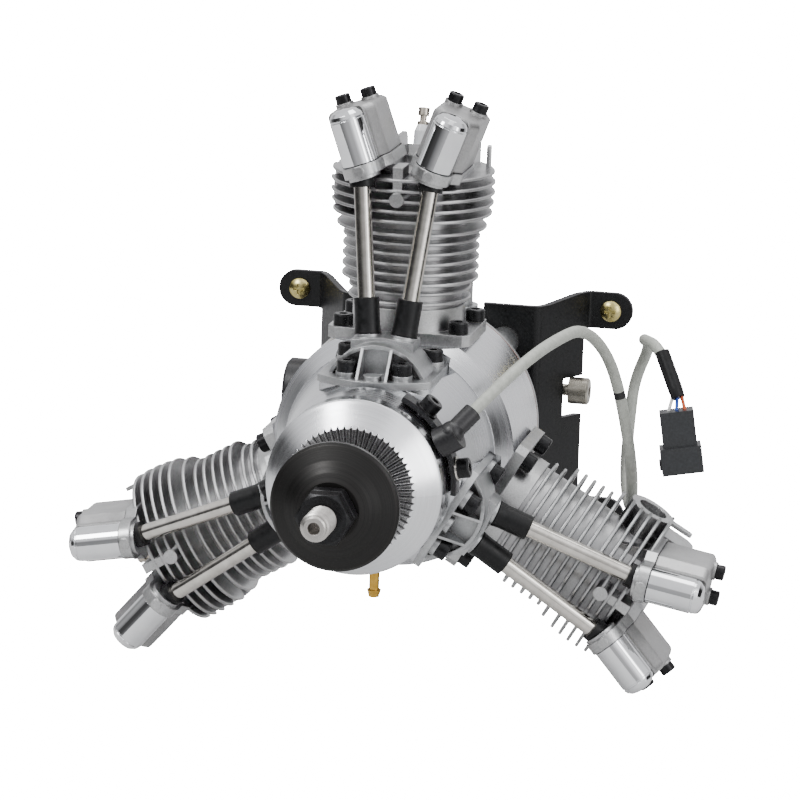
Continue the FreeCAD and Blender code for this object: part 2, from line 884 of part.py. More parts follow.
def fin_profile():
    """The barrel, its fins and the head as one turned outline."""
    half = fin_thickness / 2.0
    edge = fin_tip_chamfer
    heights = [barrel_fin_low + fin_pitch * step for step in range(len(barrel_fin_radii))]
    heights += [head_fin_low + fin_pitch * step for step in range(len(head_fin_radii))]
    corners = [(0, skirt_bottom), (skirt_radius, skirt_bottom), (skirt_radius, seat_height),
               (neck_radius, seat_height), (neck_radius, neck_top), (core_radius, neck_top)]
    for radius, height in zip(barrel_fin_radii + head_fin_radii, heights):
        corners += [(core_radius, height - half), (radius - edge, height - half),
                    (radius, height - half + edge), (radius, height + half - edge),
                    (radius - edge, height + half), (core_radius, height + half)]
    corners += [(core_radius, head_top), (0, head_top)]
    return corners


def plug_line(reach):
    """A point on the spark plug's axis."""
    tilt = math.radians(plug_tilt)
    return Vec(0, plug_station + reach * math.sin(tilt), plug_foot_height + reach * math.cos(tilt))


def chamber_space():
    """The bore and the two sloping faces of the roof that carry the valves."""
    bore = rod(bore_radius, AX_Z * (skirt_bottom - 1.0), AX_Z * (roof_height + 8.0))
    wide = 60.0
    under = boxed(block(-wide, wide, -wide, wide, -20.0, roof_height))
    return bore.common(under).common(mirrored(under))


def rocker_pedestal():
    """One post that carries an end of the rocker shaft."""
    low = box_flange_high - 1.0
    return fuse([
        block(pedestal_inner, pedestal_outer, rocker_pivot_station - pedestal_half_depth,
              rocker_pivot_station + pedestal_half_depth, low, rocker_pivot_height),
        rod(pedestal_half_depth, Vec(pedestal_inner, rocker_pivot_station, rocker_pivot_height),
            Vec(pedestal_outer, rocker_pivot_station, rocker_pivot_height))])


def box_base():
    """The rocker box floor and the tower that carries it, in the box frame."""
    post = rocker_pedestal()
    pin_height = (box_flange_low + box_flange_high) / 2.0
    pin_front = box_front_station - box_front_radius - box_flange_lip - flange_pin_stand
    return [
        box_slab(box_flange_lip, box_flange_low, box_flange_high),
        block(-box_tower_half_width, box_tower_half_width, box_tower_front, box_back_station,
              roof_height + 3.0, box_flange_low + 1.0),
        rod(box_front_radius - 0.6, Vec(0, box_front_station, box_flange_low - 1.2),
            Vec(0, box_front_station, box_flange_low + 1.0)),
        rod(flange_pin_radius, Vec(0, box_front_station, pin_height), Vec(0, pin_front, pin_height)),
        post, mirrored(post)]


def box_base_cuts():
    """The holes of one rocker box floor, in the box frame."""
    cuts = [
        rod(rocker_shaft_radius + fit_gap,
            Vec(-pedestal_outer - 1.0, rocker_pivot_station, rocker_pivot_height),
            Vec(pedestal_outer + 1.0, rocker_pivot_station, rocker_pivot_height)),
        rod(spring_pocket_radius, Vec(0, valve_station, spring_pocket_bottom),
            Vec(0, valve_station, box_flange_high + 1.0)),
        rod(valve_stem_radius + running_gap, Vec(0, valve_station, roof_height),
            Vec(0, valve_station, spring_pocket_bottom + 1.0)),
        rod(valve_throat_radius, Vec(0, valve_station, roof_height - 1.0),
            Vec(0, valve_station, roof_height + valve_throat_length - 2.5))]
    for across in (-box_screw_offset, box_screw_offset):
        seat = Vec(across, box_screw_station, box_top + box_screw_boss_height)
        cuts.append(screw_hole(seat, AX_Z, m3_radius, m3_cover_screw_length))
    return cuts


def top_fins():
    """The upright fins on the head, behind the rocker boxes."""
    fins = []
    reach = max(head_fin_radii) - 2.0
    for offset, rise in zip(top_fin_offsets, top_fin_rises):
        back = math.sqrt(reach ** 2 - offset ** 2)
        length = back - top_fin_front
        if length > 2.0:
            top = head_top + rise
            fin = block(offset - top_fin_thickness / 2.0, offset + top_fin_thickness / 2.0,
                        top_fin_front, back, head_top - 2.0, top)
            corners = [edge for edge in fin.Edges if edge.CenterOfMass.z > top - 0.01
                       and abs(edge.tangentAt(edge.FirstParameter).x) > 0.9]
            fins.append(fin.makeFillet(min(top_fin_corner, 0.45 * length), corners))
    return fins + [mirrored(fin) for fin in fins]


def flange_plate():
    """The square foot of the cylinder."""
    plate = block(-flange_half_width, flange_half_width, flange_station - flange_half_depth,
                  flange_station + flange_half_depth, seat_height, flange_top)
    upright = [edge for edge in plate.Edges if abs(edge.tangentAt(edge.FirstParameter).z) > 0.9]
    return plate.makeChamfer(flange_corner * 0.4, upright)


def make_cylinder():
    base = [boxed(part) for part in box_base()]
    exhaust_out = Vec(-exhaust_boss_reach, exhaust_station, exhaust_height)
    exhaust_in = Vec(-core_radius + 4.0, exhaust_station, exhaust_height)
    turned = revolve_z(fin_profile()).fuse(rod(exhaust_boss_radius, exhaust_in, exhaust_out))
    room = [boxed(box_slab(box_flange_lip, box_flange_high, box_top + 5.0)),
            rod(seal_radius + 0.4, pushrod_point(box_flange_low - seal_room_depth),
                pushrod_point(box_flange_high))]
    turned = cut(turned, [side for shape in room for side in both_sides(shape)])
    solid = [turned, flange_plate()]
    for part in base:
        solid += both_sides(part)
    solid += top_fins()
    solid.append(rod(front_boss_radius, Vec(0, front_boss_station, front_boss_height),
                     Vec(0, -core_radius + 4.0, front_boss_height)))
    solid.append(prism([Vec(-bridge_half_width, bridge_station, front_boss_height),
                        Vec(bridge_half_width, bridge_station, front_boss_height),
                        Vec(bridge_top_half_width, bridge_station, bridge_top),
                        Vec(-bridge_top_half_width, bridge_station, bridge_top)],
                       AX_Y * bridge_thickness))
    solid.append(rod(plug_boss_radius, plug_line(plug_seat_reach - plug_boss_length),
                     plug_line(plug_seat_reach)))
    intake_out = Vec(intake_offset, intake_boss_reach, intake_height)
    intake_in = Vec(intake_offset, core_radius - 8.0, intake_height)
    solid.append(rod(intake_boss_radius, intake_in, intake_out))
    for across in (-pipe_screw_offset, pipe_screw_offset):
        lug = AX_X * across
        solid.append(rod(pipe_lug_radius, intake_in + lug, intake_out + lug))
    body = fuse(solid)
    cuts = [chamber_space()]
    for part in box_base_cuts():
        cuts += both_sides(boxed(part))
    thread_end = exhaust_out + AX_X * exhaust_thread_depth
    port_mouth = box_point(0, valve_station, roof_height + valve_throat_length - 5.0)
    beyond_fins = exhaust_out - AX_X * (max(head_fin_radii) - exhaust_boss_reach + 1.0)
    cuts.append(rod(exhaust_boss_radius + exhaust_face_margin, beyond_fins, exhaust_out))
    cuts.append(rod(exhaust_thread_radius, beyond_fins, thread_end))
    cuts.append(rod(port_radius, thread_end, Vec(-port_mouth.x, port_mouth.y, port_mouth.z)))
    cuts.append(rod(port_radius, intake_out + AX_Y, port_mouth))
    cuts.append(rod(plug_thread_radius + fit_gap, plug_line(-4.0), plug_line(plug_seat_reach + 1.0)))
    cuts.append(rod(plug_well_radius, plug_line(plug_seat_reach), plug_line(plug_seat_reach + 12.0)))
    hole = pushrod_hole()
    cuts += both_sides(hole)
    for offset, station in flange_screws:
        seat = Vec(offset, station, flange_top)
        cuts += both_sides(screw_hole(seat, AX_Z, m4_radius, m4_screw_length))
        cuts += both_sides(rod(m4_head_radius + 0.5, seat, seat + AX_Z * 8.0))
    for seat in pipe_screw_seats():
        cuts.append(screw_hole(seat, AX_Y, m2_radius, rear_screw_length))
    return cut(body, cuts)


def pushrod_hole():
    """The hole for the pushrod tube in the rocker box floor."""
    low = pushrod_point_in_box(box_flange_low - 4.0)
    high = pushrod_point_in_box(box_flange_high + 1.5)
    return rod(tube_outer_radius + fit_gap, low, high)


# Rocker box pieces, in the box frame

def make_cover():
    low = box_flange_high + box_seal_thickness
    outer = box_slab(0, low, box_top)
    top_edges = [edge for edge in outer.Edges
                 if min(vertex.Point.z for vertex in edge.Vertexes) > box_top - 0.01]
    outer = outer.makeFillet(2.4, top_edges)
    slope = prism([Vec(-20, box_back_station + 1.0, box_top + 2.0),
                   Vec(-20, box_screw_station + 4.5, box_top + 2.0),
                   Vec(-20, box_screw_station + 4.5, box_top),
                   Vec(-20, box_back_station + 1.0, box_top - 4.2)], AX_X * 40.0)
    bosses = []
    for across in (-box_screw_offset, box_screw_offset):
        bosses.append(rod(box_screw_boss_radius, Vec(across, box_screw_station, box_top - 3.0),
                          Vec(across, box_screw_station, box_top + box_screw_boss_height)))
    outer = fuse([outer.cut(slope)] + bosses)
    cavity = box_slab(-box_wall, low - 1.0, box_top - box_wall - 0.8)
    cavity_roof = prism([Vec(-20, box_back_station + 1.0, box_top),
                         Vec(-20, box_screw_station + 3.0, box_top),
                         Vec(-20, box_back_station + 1.0, box_top - 7.2)], AX_X * 40.0)
    front = block(-20, 20, box_front_station - 20.0, cap_split_station, low - 1.0, box_top + 5.0)
    cap_room = rod(cap_radius + fit_gap, Vec(0, cap_station, low - 1.0), Vec(0, cap_station, box_top + 5.0))
    tools = [cavity.cut(cavity_roof), front, cap_room]
    for across in (-box_screw_offset, box_screw_offset):
        seat = Vec(across, box_screw_station, box_top + box_screw_boss_height)
        tools.append(screw_hole(seat, AX_Z, m3_radius, m3_cover_screw_length))
    return cut(outer, tools)


def make_cap():
    low = box_flange_high + box_seal_thickness
    top = box_top + 0.8
    shoulder = top - cap_dome_height
    groove_high = top - cap_groove_drop - 0.4
    outer = revolve_z([
        (0, low), (cap_radius, low), (cap_radius, groove_high - 1.1),
        (cap_radius - cap_groove_depth, groove_high - 0.9),
        (cap_radius - cap_groove_depth, groove_high - 0.5),
        (cap_radius - 0.1, groove_high - 0.3), (cap_radius - 0.5, shoulder + 1.1),
        (0.72 * cap_radius, shoulder + 2.3), (0.42 * cap_radius, shoulder + 3.0), (0, top)])
    inner = rod(cap_radius - cap_wall, AX_Z * (low - 1.0), AX_Z * (shoulder - 0.6))
    shell = outer.cut(inner).translated(AX_Y * cap_station)
    window = block(-rocker_half_width - 0.9, rocker_half_width + 0.9, cap_station, cap_station + 20.0,
                   low - 1.0, shoulder - 1.0)
    return shell.cut(window)


def make_cover_seal():
    low = box_flange_high
    high = low + box_seal_thickness
    return box_slab(0.1, low, high).cut(box_slab(-box_wall, low - 1.0, high + 1.0))


def make_rocker():
    pivot = Vec(0, rocker_pivot_station, rocker_pivot_height)
    hub = rod(rocker_hub_radius, pivot - AX_X * rocker_hub_half_width, pivot + AX_X * rocker_hub_half_width)
    front = rocker_adjuster_station
    outline = [Vec(-rocker_half_width, front - 3.0, rocker_pivot_height + 0.6),
               Vec(-rocker_half_width, front - 3.0, rocker_pivot_height + 3.6),
               Vec(-rocker_half_width, rocker_pivot_station - 4.0, rocker_pivot_height + 4.2),
               Vec(-rocker_half_width, rocker_pivot_station + 4.0, rocker_pivot_height + 4.2),
               Vec(-rocker_half_width, valve_station + 2.4, rocker_pivot_height + 3.0),
               Vec(-rocker_half_width, valve_station + 2.4, rocker_pivot_height + 0.4),
               Vec(-rocker_half_width, rocker_pivot_station + 4.0, rocker_pivot_height - 1.6),
               Vec(-rocker_half_width, rocker_pivot_station - 4.0, rocker_pivot_height - 1.6)]
    arm = prism(outline, AX_X * (2.0 * rocker_half_width))
    pad_centre = valve_top + lash + rocker_pad_radius
    pad = rod(rocker_pad_radius, Vec(-rocker_half_width, valve_station, pad_centre),
              Vec(rocker_half_width, valve_station, pad_centre))
    body = fuse([hub, arm, pad])
    shaft_hole = rod(rocker_shaft_radius + running_gap, pivot - AX_X * 10.0, pivot + AX_X * 10.0)
    ball_height = adjuster_ball_height()
    nut_low = rocker_pivot_height + 3.9
    adjuster_hole = rod(adjuster_radius + fit_gap, Vec(0, front, rocker_pivot_height - 6.0),
                        Vec(0, front, nut_low + 2.0))
    body = cut(body, [shaft_hole, adjuster_hole])
    screw = fuse([rod(adjuster_radius, Vec(0, front, ball_height), Vec(0, front, adjuster_top)),
                  Part.makeSphere(adjuster_ball_radius, Vec(0, front, ball_height))])
    nut = hexagon(adjuster_nut_flats, Vec(0, front, nut_low), Vec(0, front, nut_low + adjuster_nut_height))
    nut = nut.cut(rod(adjuster_radius + fit_gap, Vec(0, front, nut_low - 1.0), Vec(0, front, adjuster_top)))
    return [body, screw, nut]


def adjuster_ball_height():
    """Height of the adjuster's ball above the pushrod's ball, with the lash between them."""
    return pushrod_ball_height + pushrod_ball_radius + lash + adjuster_ball_radius


def make_valve():
    seat = roof_height - valve_seat_gap
    low = seat - valve_head_thickness
    head = rod(valve_head_radius, AX_Z * low, AX_Z * seat)
    tulip = taper(valve_throat_radius - 0.3, valve_stem_radius, AX_Z * seat, AX_Z * (seat + 3.4))
    stem = rod(valve_stem_radius, AX_Z * low, AX_Z * valve_top)
    retainer = tube(retainer_radius, valve_stem_radius + fit_gap, AX_Z * retainer_height,
                    AX_Z * (retainer_height + retainer_thickness))
    valve = fuse([head, tulip, stem])
    return [part.translated(AX_Y * valve_station) for part in (valve, retainer)]


def make_spring():
    low = spring_pocket_bottom + spring_wire_radius + fit_gap
    height = retainer_height - fit_gap - spring_wire_radius - low
    path = Part.makeHelix(height / spring_turns, height, spring_radius)
    wire = Part.Wire([Part.makeCircle(spring_wire_radius, Vec(spring_radius, 0, 0), AX_Y)])
    coil = Part.Wire(path).makePipeShell([wire], True, True)
    return coil.translated(Vec(0, valve_station, low))


# Pushrod pieces, on the upright cylinder

def make_pushrod(track):
    """A tappet and its pushrod; the tappet's foot stands over one of the two cam tracks."""
    foot = pushrod_point(tappet_foot_height)
    top = foot + pushrod_axis * tappet_length
    middle = cam_tracks_station + cam_track_width
    start = middle if track == 0 else middle - 10.0
    other = block(-20, 20, start, start + 10.0, 0, tappet_foot_height + 1.5)
    tappet = rod(tappet_radius, foot, top).cut(other)
    ball = pushrod_point_in_box(pushrod_ball_height)
    stem = fuse([rod(pushrod_radius, top, ball), Part.makeSphere(pushrod_ball_radius, ball)])
    return [tappet, stem]


def make_pushrod_tube():
    high = pushrod_point_in_box(box_flange_low + 1.0)
    return tube(tube_outer_radius, tube_inner_radius, pushrod_point(tube_low_height), high)


def make_boot():
    low = pushrod_point(boot_low_height)
    high = pushrod_point(boot_high_height)
    middle = low + pushrod_axis * 3.0
    outer = fuse([taper(boot_low_radius, boot_radius, low, middle), rod(boot_radius, middle, high)])
    hole = rod(tube_outer_radius, low - pushrod_axis, high + pushrod_axis)
    return cut(outer, [hole, tappet_block()])


def make_tube_seal():
    floor = Vec(0, box_front_station, box_flange_low - 1.2)
    high = pushrod_point_in_box(floor.z - 0.1)
    low = high - pushrod_axis * seal_length
    ring = tube(seal_radius, tube_outer_radius, low, high + pushrod_axis * 2.0)
    above = boxed(block(-20, 20, box_front_station - 20.0, 20, floor.z, floor.z + 20.0))
    return ring.cut(above)


# Spark plug

def make_spark_plug():
    seat = plug_line(plug_seat_reach)
    axis = (plug_line(1.0) - plug_line(0)).normalize()
    hex_top = seat + axis * plug_hex_height
    insulator_top = hex_top + axis * plug_insulator_length
    collar = insulator_top - axis * 2.4
    terminal_top = insulator_top + axis * plug_terminal_length
    shell = fuse([rod(plug_thread_radius, plug_line(0), seat), hexagon(plug_hex_flats, seat, hex_top)])
    insulator = fuse([rod(plug_insulator_radius, hex_top, collar),
                      taper(plug_insulator_radius, plug_terminal_radius, collar, insulator_top)])
    neck = insulator_top + axis * (plug_terminal_length * 0.55)
    terminal = fuse([rod(plug_terminal_radius * 0.62, insulator_top, neck),
                     rod(plug_terminal_radius, insulator_top, insulator_top + axis * 1.2),
                     rod(plug_terminal_radius, neck, terminal_top)])
    return [shell, insulator, terminal]


# Tappet housing

def housing_plate(inset, low, high):
    """The housing's foot between two heights, with its bowed front edge."""
    side = tappet_plate_half_width - inset
    back = tappet_plate_back - inset
    edges = [
        Part.Arc(Vec(-side, tappet_plate_corner, low), Vec(0, tappet_plate_front + inset, low),
                 Vec(side, tappet_plate_corner, low)).toShape(),
        Part.makeLine(Vec(side, tappet_plate_corner, low), Vec(side, back, low)),
        Part.makeLine(Vec(side, back, low), Vec(-side, back, low)),
        Part.makeLine(Vec(-side, back, low), Vec(-side, tappet_plate_corner, low))]
    return Part.Face(Part.Wire(edges)).extrude(AX_Z * (high - low))


def arch_prism(radius, front, back):
    """A round-topped block above the foot."""
    bar = rod(radius, Vec(0, front, arch_centre), Vec(0, back, arch_centre))
    return bar.common(block(-30, 30, front, back, plate_top - 0.2, arch_centre + radius + 1.0))


def tappet_block():
    """The block with two sloping faces that the pushrod tubes stand on."""
    half = tappet_shoulder_half_width
    return prism([Vec(-half, tappet_block_front, plate_top - 0.2),
                  Vec(-half, tappet_block_front, tappet_shoulder_height),
                  Vec(0, tappet_block_front, tappet_ridge_height),
                  Vec(half, tappet_block_front, tappet_shoulder_height),
                  Vec(half, tappet_block_front, plate_top - 0.2)],
                 AX_Y * (arch_back - tappet_block_front))


def make_tappet_housing():
    foot = housing_plate(0, tappet_plate_seat, plate_top)
    arch = arch_prism(arch_radius, arch_front, arch_back)
    pocket = rod(arch_radius - arch_rim, Vec(0, arch_front - 1.0, arch_centre),
                 Vec(0, arch_pocket_back, arch_centre))
    pocket = pocket.common(block(-30, 30, arch_front - 1.0, arch_pocket_back, plate_top, 60.0))
    roof = tappet_block()
    guide_low = pushrod_point(tappet_guide_bottom)
    guide_high = pushrod_point(tappet_shoulder_height + 0.9)
    guide = rod(tappet_radius + tappet_guide_wall, guide_low, guide_high)
    rib_top = arch_centre + math.sqrt((arch_radius - 0.5 * arch_rim) ** 2 - arch_rib_offset ** 2)
    rib = prism([Vec(arch_rib_offset, tappet_plate_front + 2.2, plate_top),
                 Vec(arch_rib_offset, arch_pocket_back, plate_top),
                 Vec(arch_rib_offset, arch_pocket_back, rib_top),
                 Vec(arch_rib_offset, arch_front, rib_top)], AX_X * arch_rib_thickness)
    plug = rod(oil_plug_radius, Vec(0, oil_plug_station, plate_top - 0.5),
               Vec(0, oil_plug_station, plate_top + oil_plug_height))
    solids = [foot, arch.cut(pocket), roof, plug] + both_sides(guide) + both_sides(rib)
    tools = []
    for offset, station in tappet_screws:
        boss_top = plate_top + tappet_screw_boss_height
        boss = rod(tappet_screw_boss_radius, Vec(offset, station, plate_top - 0.5),
                   Vec(offset, station, boss_top))
        solids += both_sides(boss)
        room = rod(m4_head_radius + 0.25, Vec(offset, station, boss_top), Vec(offset, station, 60.0))
        tools += both_sides(room)
        tools += both_sides(screw_hole(Vec(offset, station, boss_top), AX_Z, m4_radius, m4_screw_length))
    tools += both_sides(rod(tappet_radius + running_gap, pushrod_point(tappet_guide_bottom - 6.0),
                            pushrod_point(tappet_shoulder_height + 4.0)))
    return cut(fuse(solids), tools)


# Castings on the crankshaft axis

def make_front_housing():
    body = revolve_y([
        (nose_shaft_hole_radius, nose_front_station + 4.2),
        (hub_neck_radius + 0.6, nose_front_station + 4.2), (hub_neck_radius + 0.6, nose_front_station),
        (nose_front_radius - nose_edge_chamfer, nose_front_station),
        (nose_front_radius, nose_front_station + nose_edge_chamfer),
        (nose_back_radius, case_front_station), (nose_cavity_radius, case_front_station),
        (nose_cavity_radius, nose_cavity_station), (cam_sleeve_radius, nose_cavity_station),
        (cam_sleeve_radius, nose_cavity_station + cam_sleeve_length),
        (nose_shaft_hole_radius, nose_cavity_station + cam_sleeve_length),
        (nose_shaft_hole_radius, front_bearing_station + front_bearing_width),
        (front_bearing_radius + fit_gap, front_bearing_station + front_bearing_width),
        (front_bearing_radius + fit_gap, front_bearing_station),
        (nose_shaft_hole_radius, front_bearing_station)])
    keep_out = rod(nose_cavity_radius, AX_Y * nose_cavity_station, AX_Y * case_front_station)
    solids = [body]
    tools = []
    for index in range(cylinder_count):
        pad = housing_plate(tappet_pad_inset, 20.0, tappet_plate_seat)
        pad = pad.common(block(-30, 30, -70, case_front_station, 0, 60)).cut(keep_out)
        solids.append(on_cylinder(pad, index))
        above = block(-30, 30, tappet_plate_front - 2.0, case_front_station + 1.0, tappet_plate_seat, 60.0)
        tools.append(on_cylinder(above, index))
        for side in both_sides(rod(tappet_radius + tappet_guide_wall + 0.3, pushrod_point(15.0),
                                   pushrod_point(tappet_plate_seat + 2.0))):
            tools.append(on_cylinder(side, index))
        for offset, station in tappet_screws:
            seat = Vec(offset, station, plate_top + tappet_screw_boss_height)
            for hole in both_sides(screw_hole(seat, AX_Z, m4_radius, m4_screw_length)):
                tools.append(on_cylinder(hole, index))
    for seat, outward in sensor_screw_seats():
        tools.append(screw_hole(seat, outward, m4_radius, m4_screw_length))
    socket = rod(nipple_radius + fit_gap, Vec(0, breather_station, breather_top),
                 Vec(0, breather_station, -nose_cavity_radius + 1.0))
    spot = hexagon(nipple_hex_flats + 0.1, Vec(0, breather_station, breather_top),
                   Vec(0, breather_station, -nose_back_radius - 2.0))
    return cut(fuse(solids), tools + [socket, spot])


def make_crankcase():
    lip = rear_bearing_station
    seat = rear_bearing_radius + fit_gap
    boss_back = rear_bearing_station + rear_bearing_width
    body = revolve_y([
        (bearing_lip_radius, case_front_station), (case_front_radius, case_front_station),
        (case_radius, case_shoulder_station), (case_radius, case_back_station),
        (case_bore_radius, case_back_station), (case_bore_radius, case_wall_station),
        (bearing_boss_radius, case_wall_station), (bearing_boss_radius, boss_back),
        (seat, boss_back), (seat, lip), (bearing_lip_radius, lip)])
    pin_foot = Vec(0, case_front_station + 0.5, -idler_distance)
    pin = rod(idler_pin_radius, pin_foot, pin_foot - AX_Y * (idler_pin_length + 0.5))
    tools = []
    for index in range(cylinder_count):
        flat = block(-30, 30, case_front_station - 1.0, flange_station + flange_half_depth + 0.4,
                     seat_height, 60.0)
        tools.append(on_cylinder(flat, index))
        tools.append(on_cylinder(rod(skirt_radius + fit_gap, AX_Z * 10.0, AX_Z * 50.0), index))
        neck_room = rod(neck_radius + 0.4, AX_Z * seat_height, AX_Z * 60.0)
        tools.append(on_cylinder(neck_room, index))
        for offset, station in flange_screws:
            seat_point = Vec(offset, station, flange_top)
            for hole in both_sides(screw_hole(seat_point, AX_Z, m4_radius, m4_screw_length)):
                tools.append(on_cylinder(hole, index))
        back = Vec(tappet_screws[1][0], tappet_screws[1][1], plate_top + tappet_screw_boss_height)
        for hole in both_sides(screw_hole(back, AX_Z, m4_radius, m4_screw_length)):
            tools.append(on_cylinder(hole, index))
        relief = block(-tappet_plate_half_width - 0.3, tappet_plate_half_width + 0.3,
                       case_front_station - 1.0, tappet_plate_back + 0.2, tappet_plate_seat, 60.0)
        tools.append(on_cylinder(relief, index))
    for seat_point in rear_screw_seats():
        tools.append(screw_hole(seat_point, AX_Y, m3_radius, rear_screw_length))
    return fuse([body, pin]).cut(Part.makeCompound(tools))


def rear_screw_seats():
    """Where the heads of the rear cover's screws sit."""
    seats = []
    for index in range(rear_screw_count):
        angle = math.radians(rear_screw_angle + 360.0 * index / rear_screw_count)
        seats.append(Vec(rear_screw_circle * math.sin(angle), gasket_back + rear_flange_thickness,
                         rear_screw_circle * math.cos(angle)))
    return seats


def bracket_screw_seats():
    """Where the heads of the bracket's four screws sit."""
    back = bracket_front + bracket_thickness
    reach = bracket_hole_offset
    return [Vec(x, back, z) for x in (-reach, reach) for z in (-reach, reach)]


def make_case_gasket():
    ring = tube(case_radius, case_bore_radius, AX_Y * case_back_station, AX_Y * gasket_back)
    return cut(ring, [screw_hole(seat, AX_Y, m3_radius, rear_screw_length) for seat in rear_screw_seats()])


def make_rear_cover():
    flange_back = gasket_back + rear_flange_thickness
    body = revolve_y([
        (0, gasket_back), (case_radius, gasket_back), (case_radius, flange_back - 0.8),
        (case_radius - 0.8, flange_back), (rear_body_radius, flange_back),
        (rear_body_radius, rear_body_station - 2.0), (rear_body_radius - 2.0, rear_body_station),
        (0, rear_body_station)])
    neck = rod(inlet_neck_radius, Vec(0, rear_body_station - 1.0, inlet_height),
               Vec(0, bracket_front + bracket_thickness + 0.4, inlet_height))
    solids = [body, neck]
    for seat in bracket_screw_seats():
        foot = Vec(seat.x, flange_back - 1.0, seat.z)
        solids.append(rod(bracket_boss_radius, foot, Vec(seat.x, bracket_front, seat.z)))
    chamber = rod(chamber_radius, AX_Y * chamber_front, AX_Y * chamber_back)
    tools = []
    for index in range(cylinder_count):
        low = Vec(intake_offset, pipe_station, chamber_radius - 8.0)
        high = Vec(intake_offset, pipe_station, pipe_socket_height)
        solids.append(on_cylinder(rod(pipe_socket_radius, low, high), index))
        insert = Vec(intake_offset, pipe_station, pipe_socket_height - pipe_insert)
        tools.append(on_cylinder(rod(pipe_outer_radius + fit_gap, insert, high + AX_Z), index))
        tools.append(on_cylinder(rod(pipe_outer_radius - pipe_wall, low, high), index))
    for seat in bracket_screw_seats():
        room = rod(bracket_boss_radius, Vec(seat.x, chamber_front - 1.0, seat.z), seat)
        chamber = chamber.cut(room)
    tools.append(chamber)
    tools.append(rod(inlet_bore_radius, Vec(0, chamber_front + 4.0, inlet_height),
                     Vec(0, bracket_front + 5.0, inlet_height)))
    for seat in rear_screw_seats():
        tools.append(screw_hole(seat, AX_Y, m3_radius, rear_screw_length))
        tools.append(rod(m3_head_radius + 0.3, seat, seat + AX_Y * 8.0))
    for seat in bracket_screw_seats():
        tools.append(screw_hole(seat, AX_Y, m5_radius, 14.0))
    return cut(fuse(solids), tools)


def make_bearing(outer, inner, station, width):
    """A shielded ball bearing as one ring."""
    back = station + width
    wall = 0.22 * (outer - inner)
    return revolve_y([
        (inner + fit_gap, station), (inner + wall, station), (inner + wall, station + 0.4),
        (outer - wall, station + 0.4), (outer - wall, station), (outer, station),
        (outer, back), (outer - wall, back), (outer - wall, back - 0.4),
        (inner + wall, back - 0.4), (inner + wall, back), (inner + fit_gap, back)])


# Intake pipe on the upright cylinder

def pipe_solid(radius, extra):
    """The intake pipe's bent bar, from the head to the rear cover."""
    start = Vec(intake_offset, intake_boss_reach - extra, intake_height)
    corner_start = Vec(intake_offset, pipe_station - pipe_bend_radius, intake_height)
    corner_end = Vec(intake_offset, pipe_station, intake_height - pipe_bend_radius)
    low = Vec(intake_offset, pipe_station, pipe_socket_height - pipe_insert - extra)
    turn = pipe_bend_radius * (1.0 - math.sqrt(0.5))
    middle = Vec(intake_offset, pipe_station - turn, intake_height - turn)
    path = Part.Wire([Part.makeLine(start, corner_start),
                      Part.Arc(corner_start, middle, corner_end).toShape(),
                      Part.makeLine(corner_end, low)])
    profile = Part.Wire([Part.makeCircle(radius, start, AX_Y)])
    return path.makePipeShell([profile], True, False)


def make_intake_pipe():
    back = intake_boss_reach + pipe_collar_length
    centre = Vec(intake_offset, intake_boss_reach, intake_height)
    ends = [rod(pipe_lug_radius, centre + AX_X * across, centre + AX_X * across + AX_Y * pipe_collar_length)
            for across in (-pipe_screw_offset, pipe_screw_offset)]
    collar = fuse([rod(pipe_collar_radius, centre, Vec(intake_offset, back, intake_height))] + ends)
    outer = fuse([pipe_solid(pipe_outer_radius, 0), collar])
    tools = [pipe_solid(pipe_outer_radius - pipe_wall, 0.5)]
    for seat in pipe_screw_seats():
        tools.append(screw_hole(seat, AX_Y, m2_radius, rear_screw_length))
        tools.append(rod(m2_head_radius + 0.1, seat, seat + AX_Y * 20.0))
    return cut(outer, tools)


def pipe_screw_seats():
    """Where the heads of one intake pipe's screws sit."""
    back = intake_boss_reach + pipe_collar_length
    offsets = (-pipe_screw_offset, pipe_screw_offset)
    return [Vec(intake_offset + across, back, intake_height) for across in offsets]


# Mounting bracket

def ear_outline(side):
    """The face of one side's ears, seen from behind, as boxes with rounded ends."""
    pieces = []
    for middle in (ear_low, ear_high):
        low = middle - ear_height / 2.0
        ear = block(0, ear_reach, ear_front - 8.0, ear_back + 1.0, low, low + ear_height)
        ends = [edge for edge in ear.Edges
                if abs(edge.tangentAt(edge.FirstParameter).y) > 0.9 and edge.CenterOfMass.x > 1.0]
        pieces.append(ear.makeFillet(ear_corner, ends))
    return [piece if side > 0 else mirrored(piece) for piece in pieces]


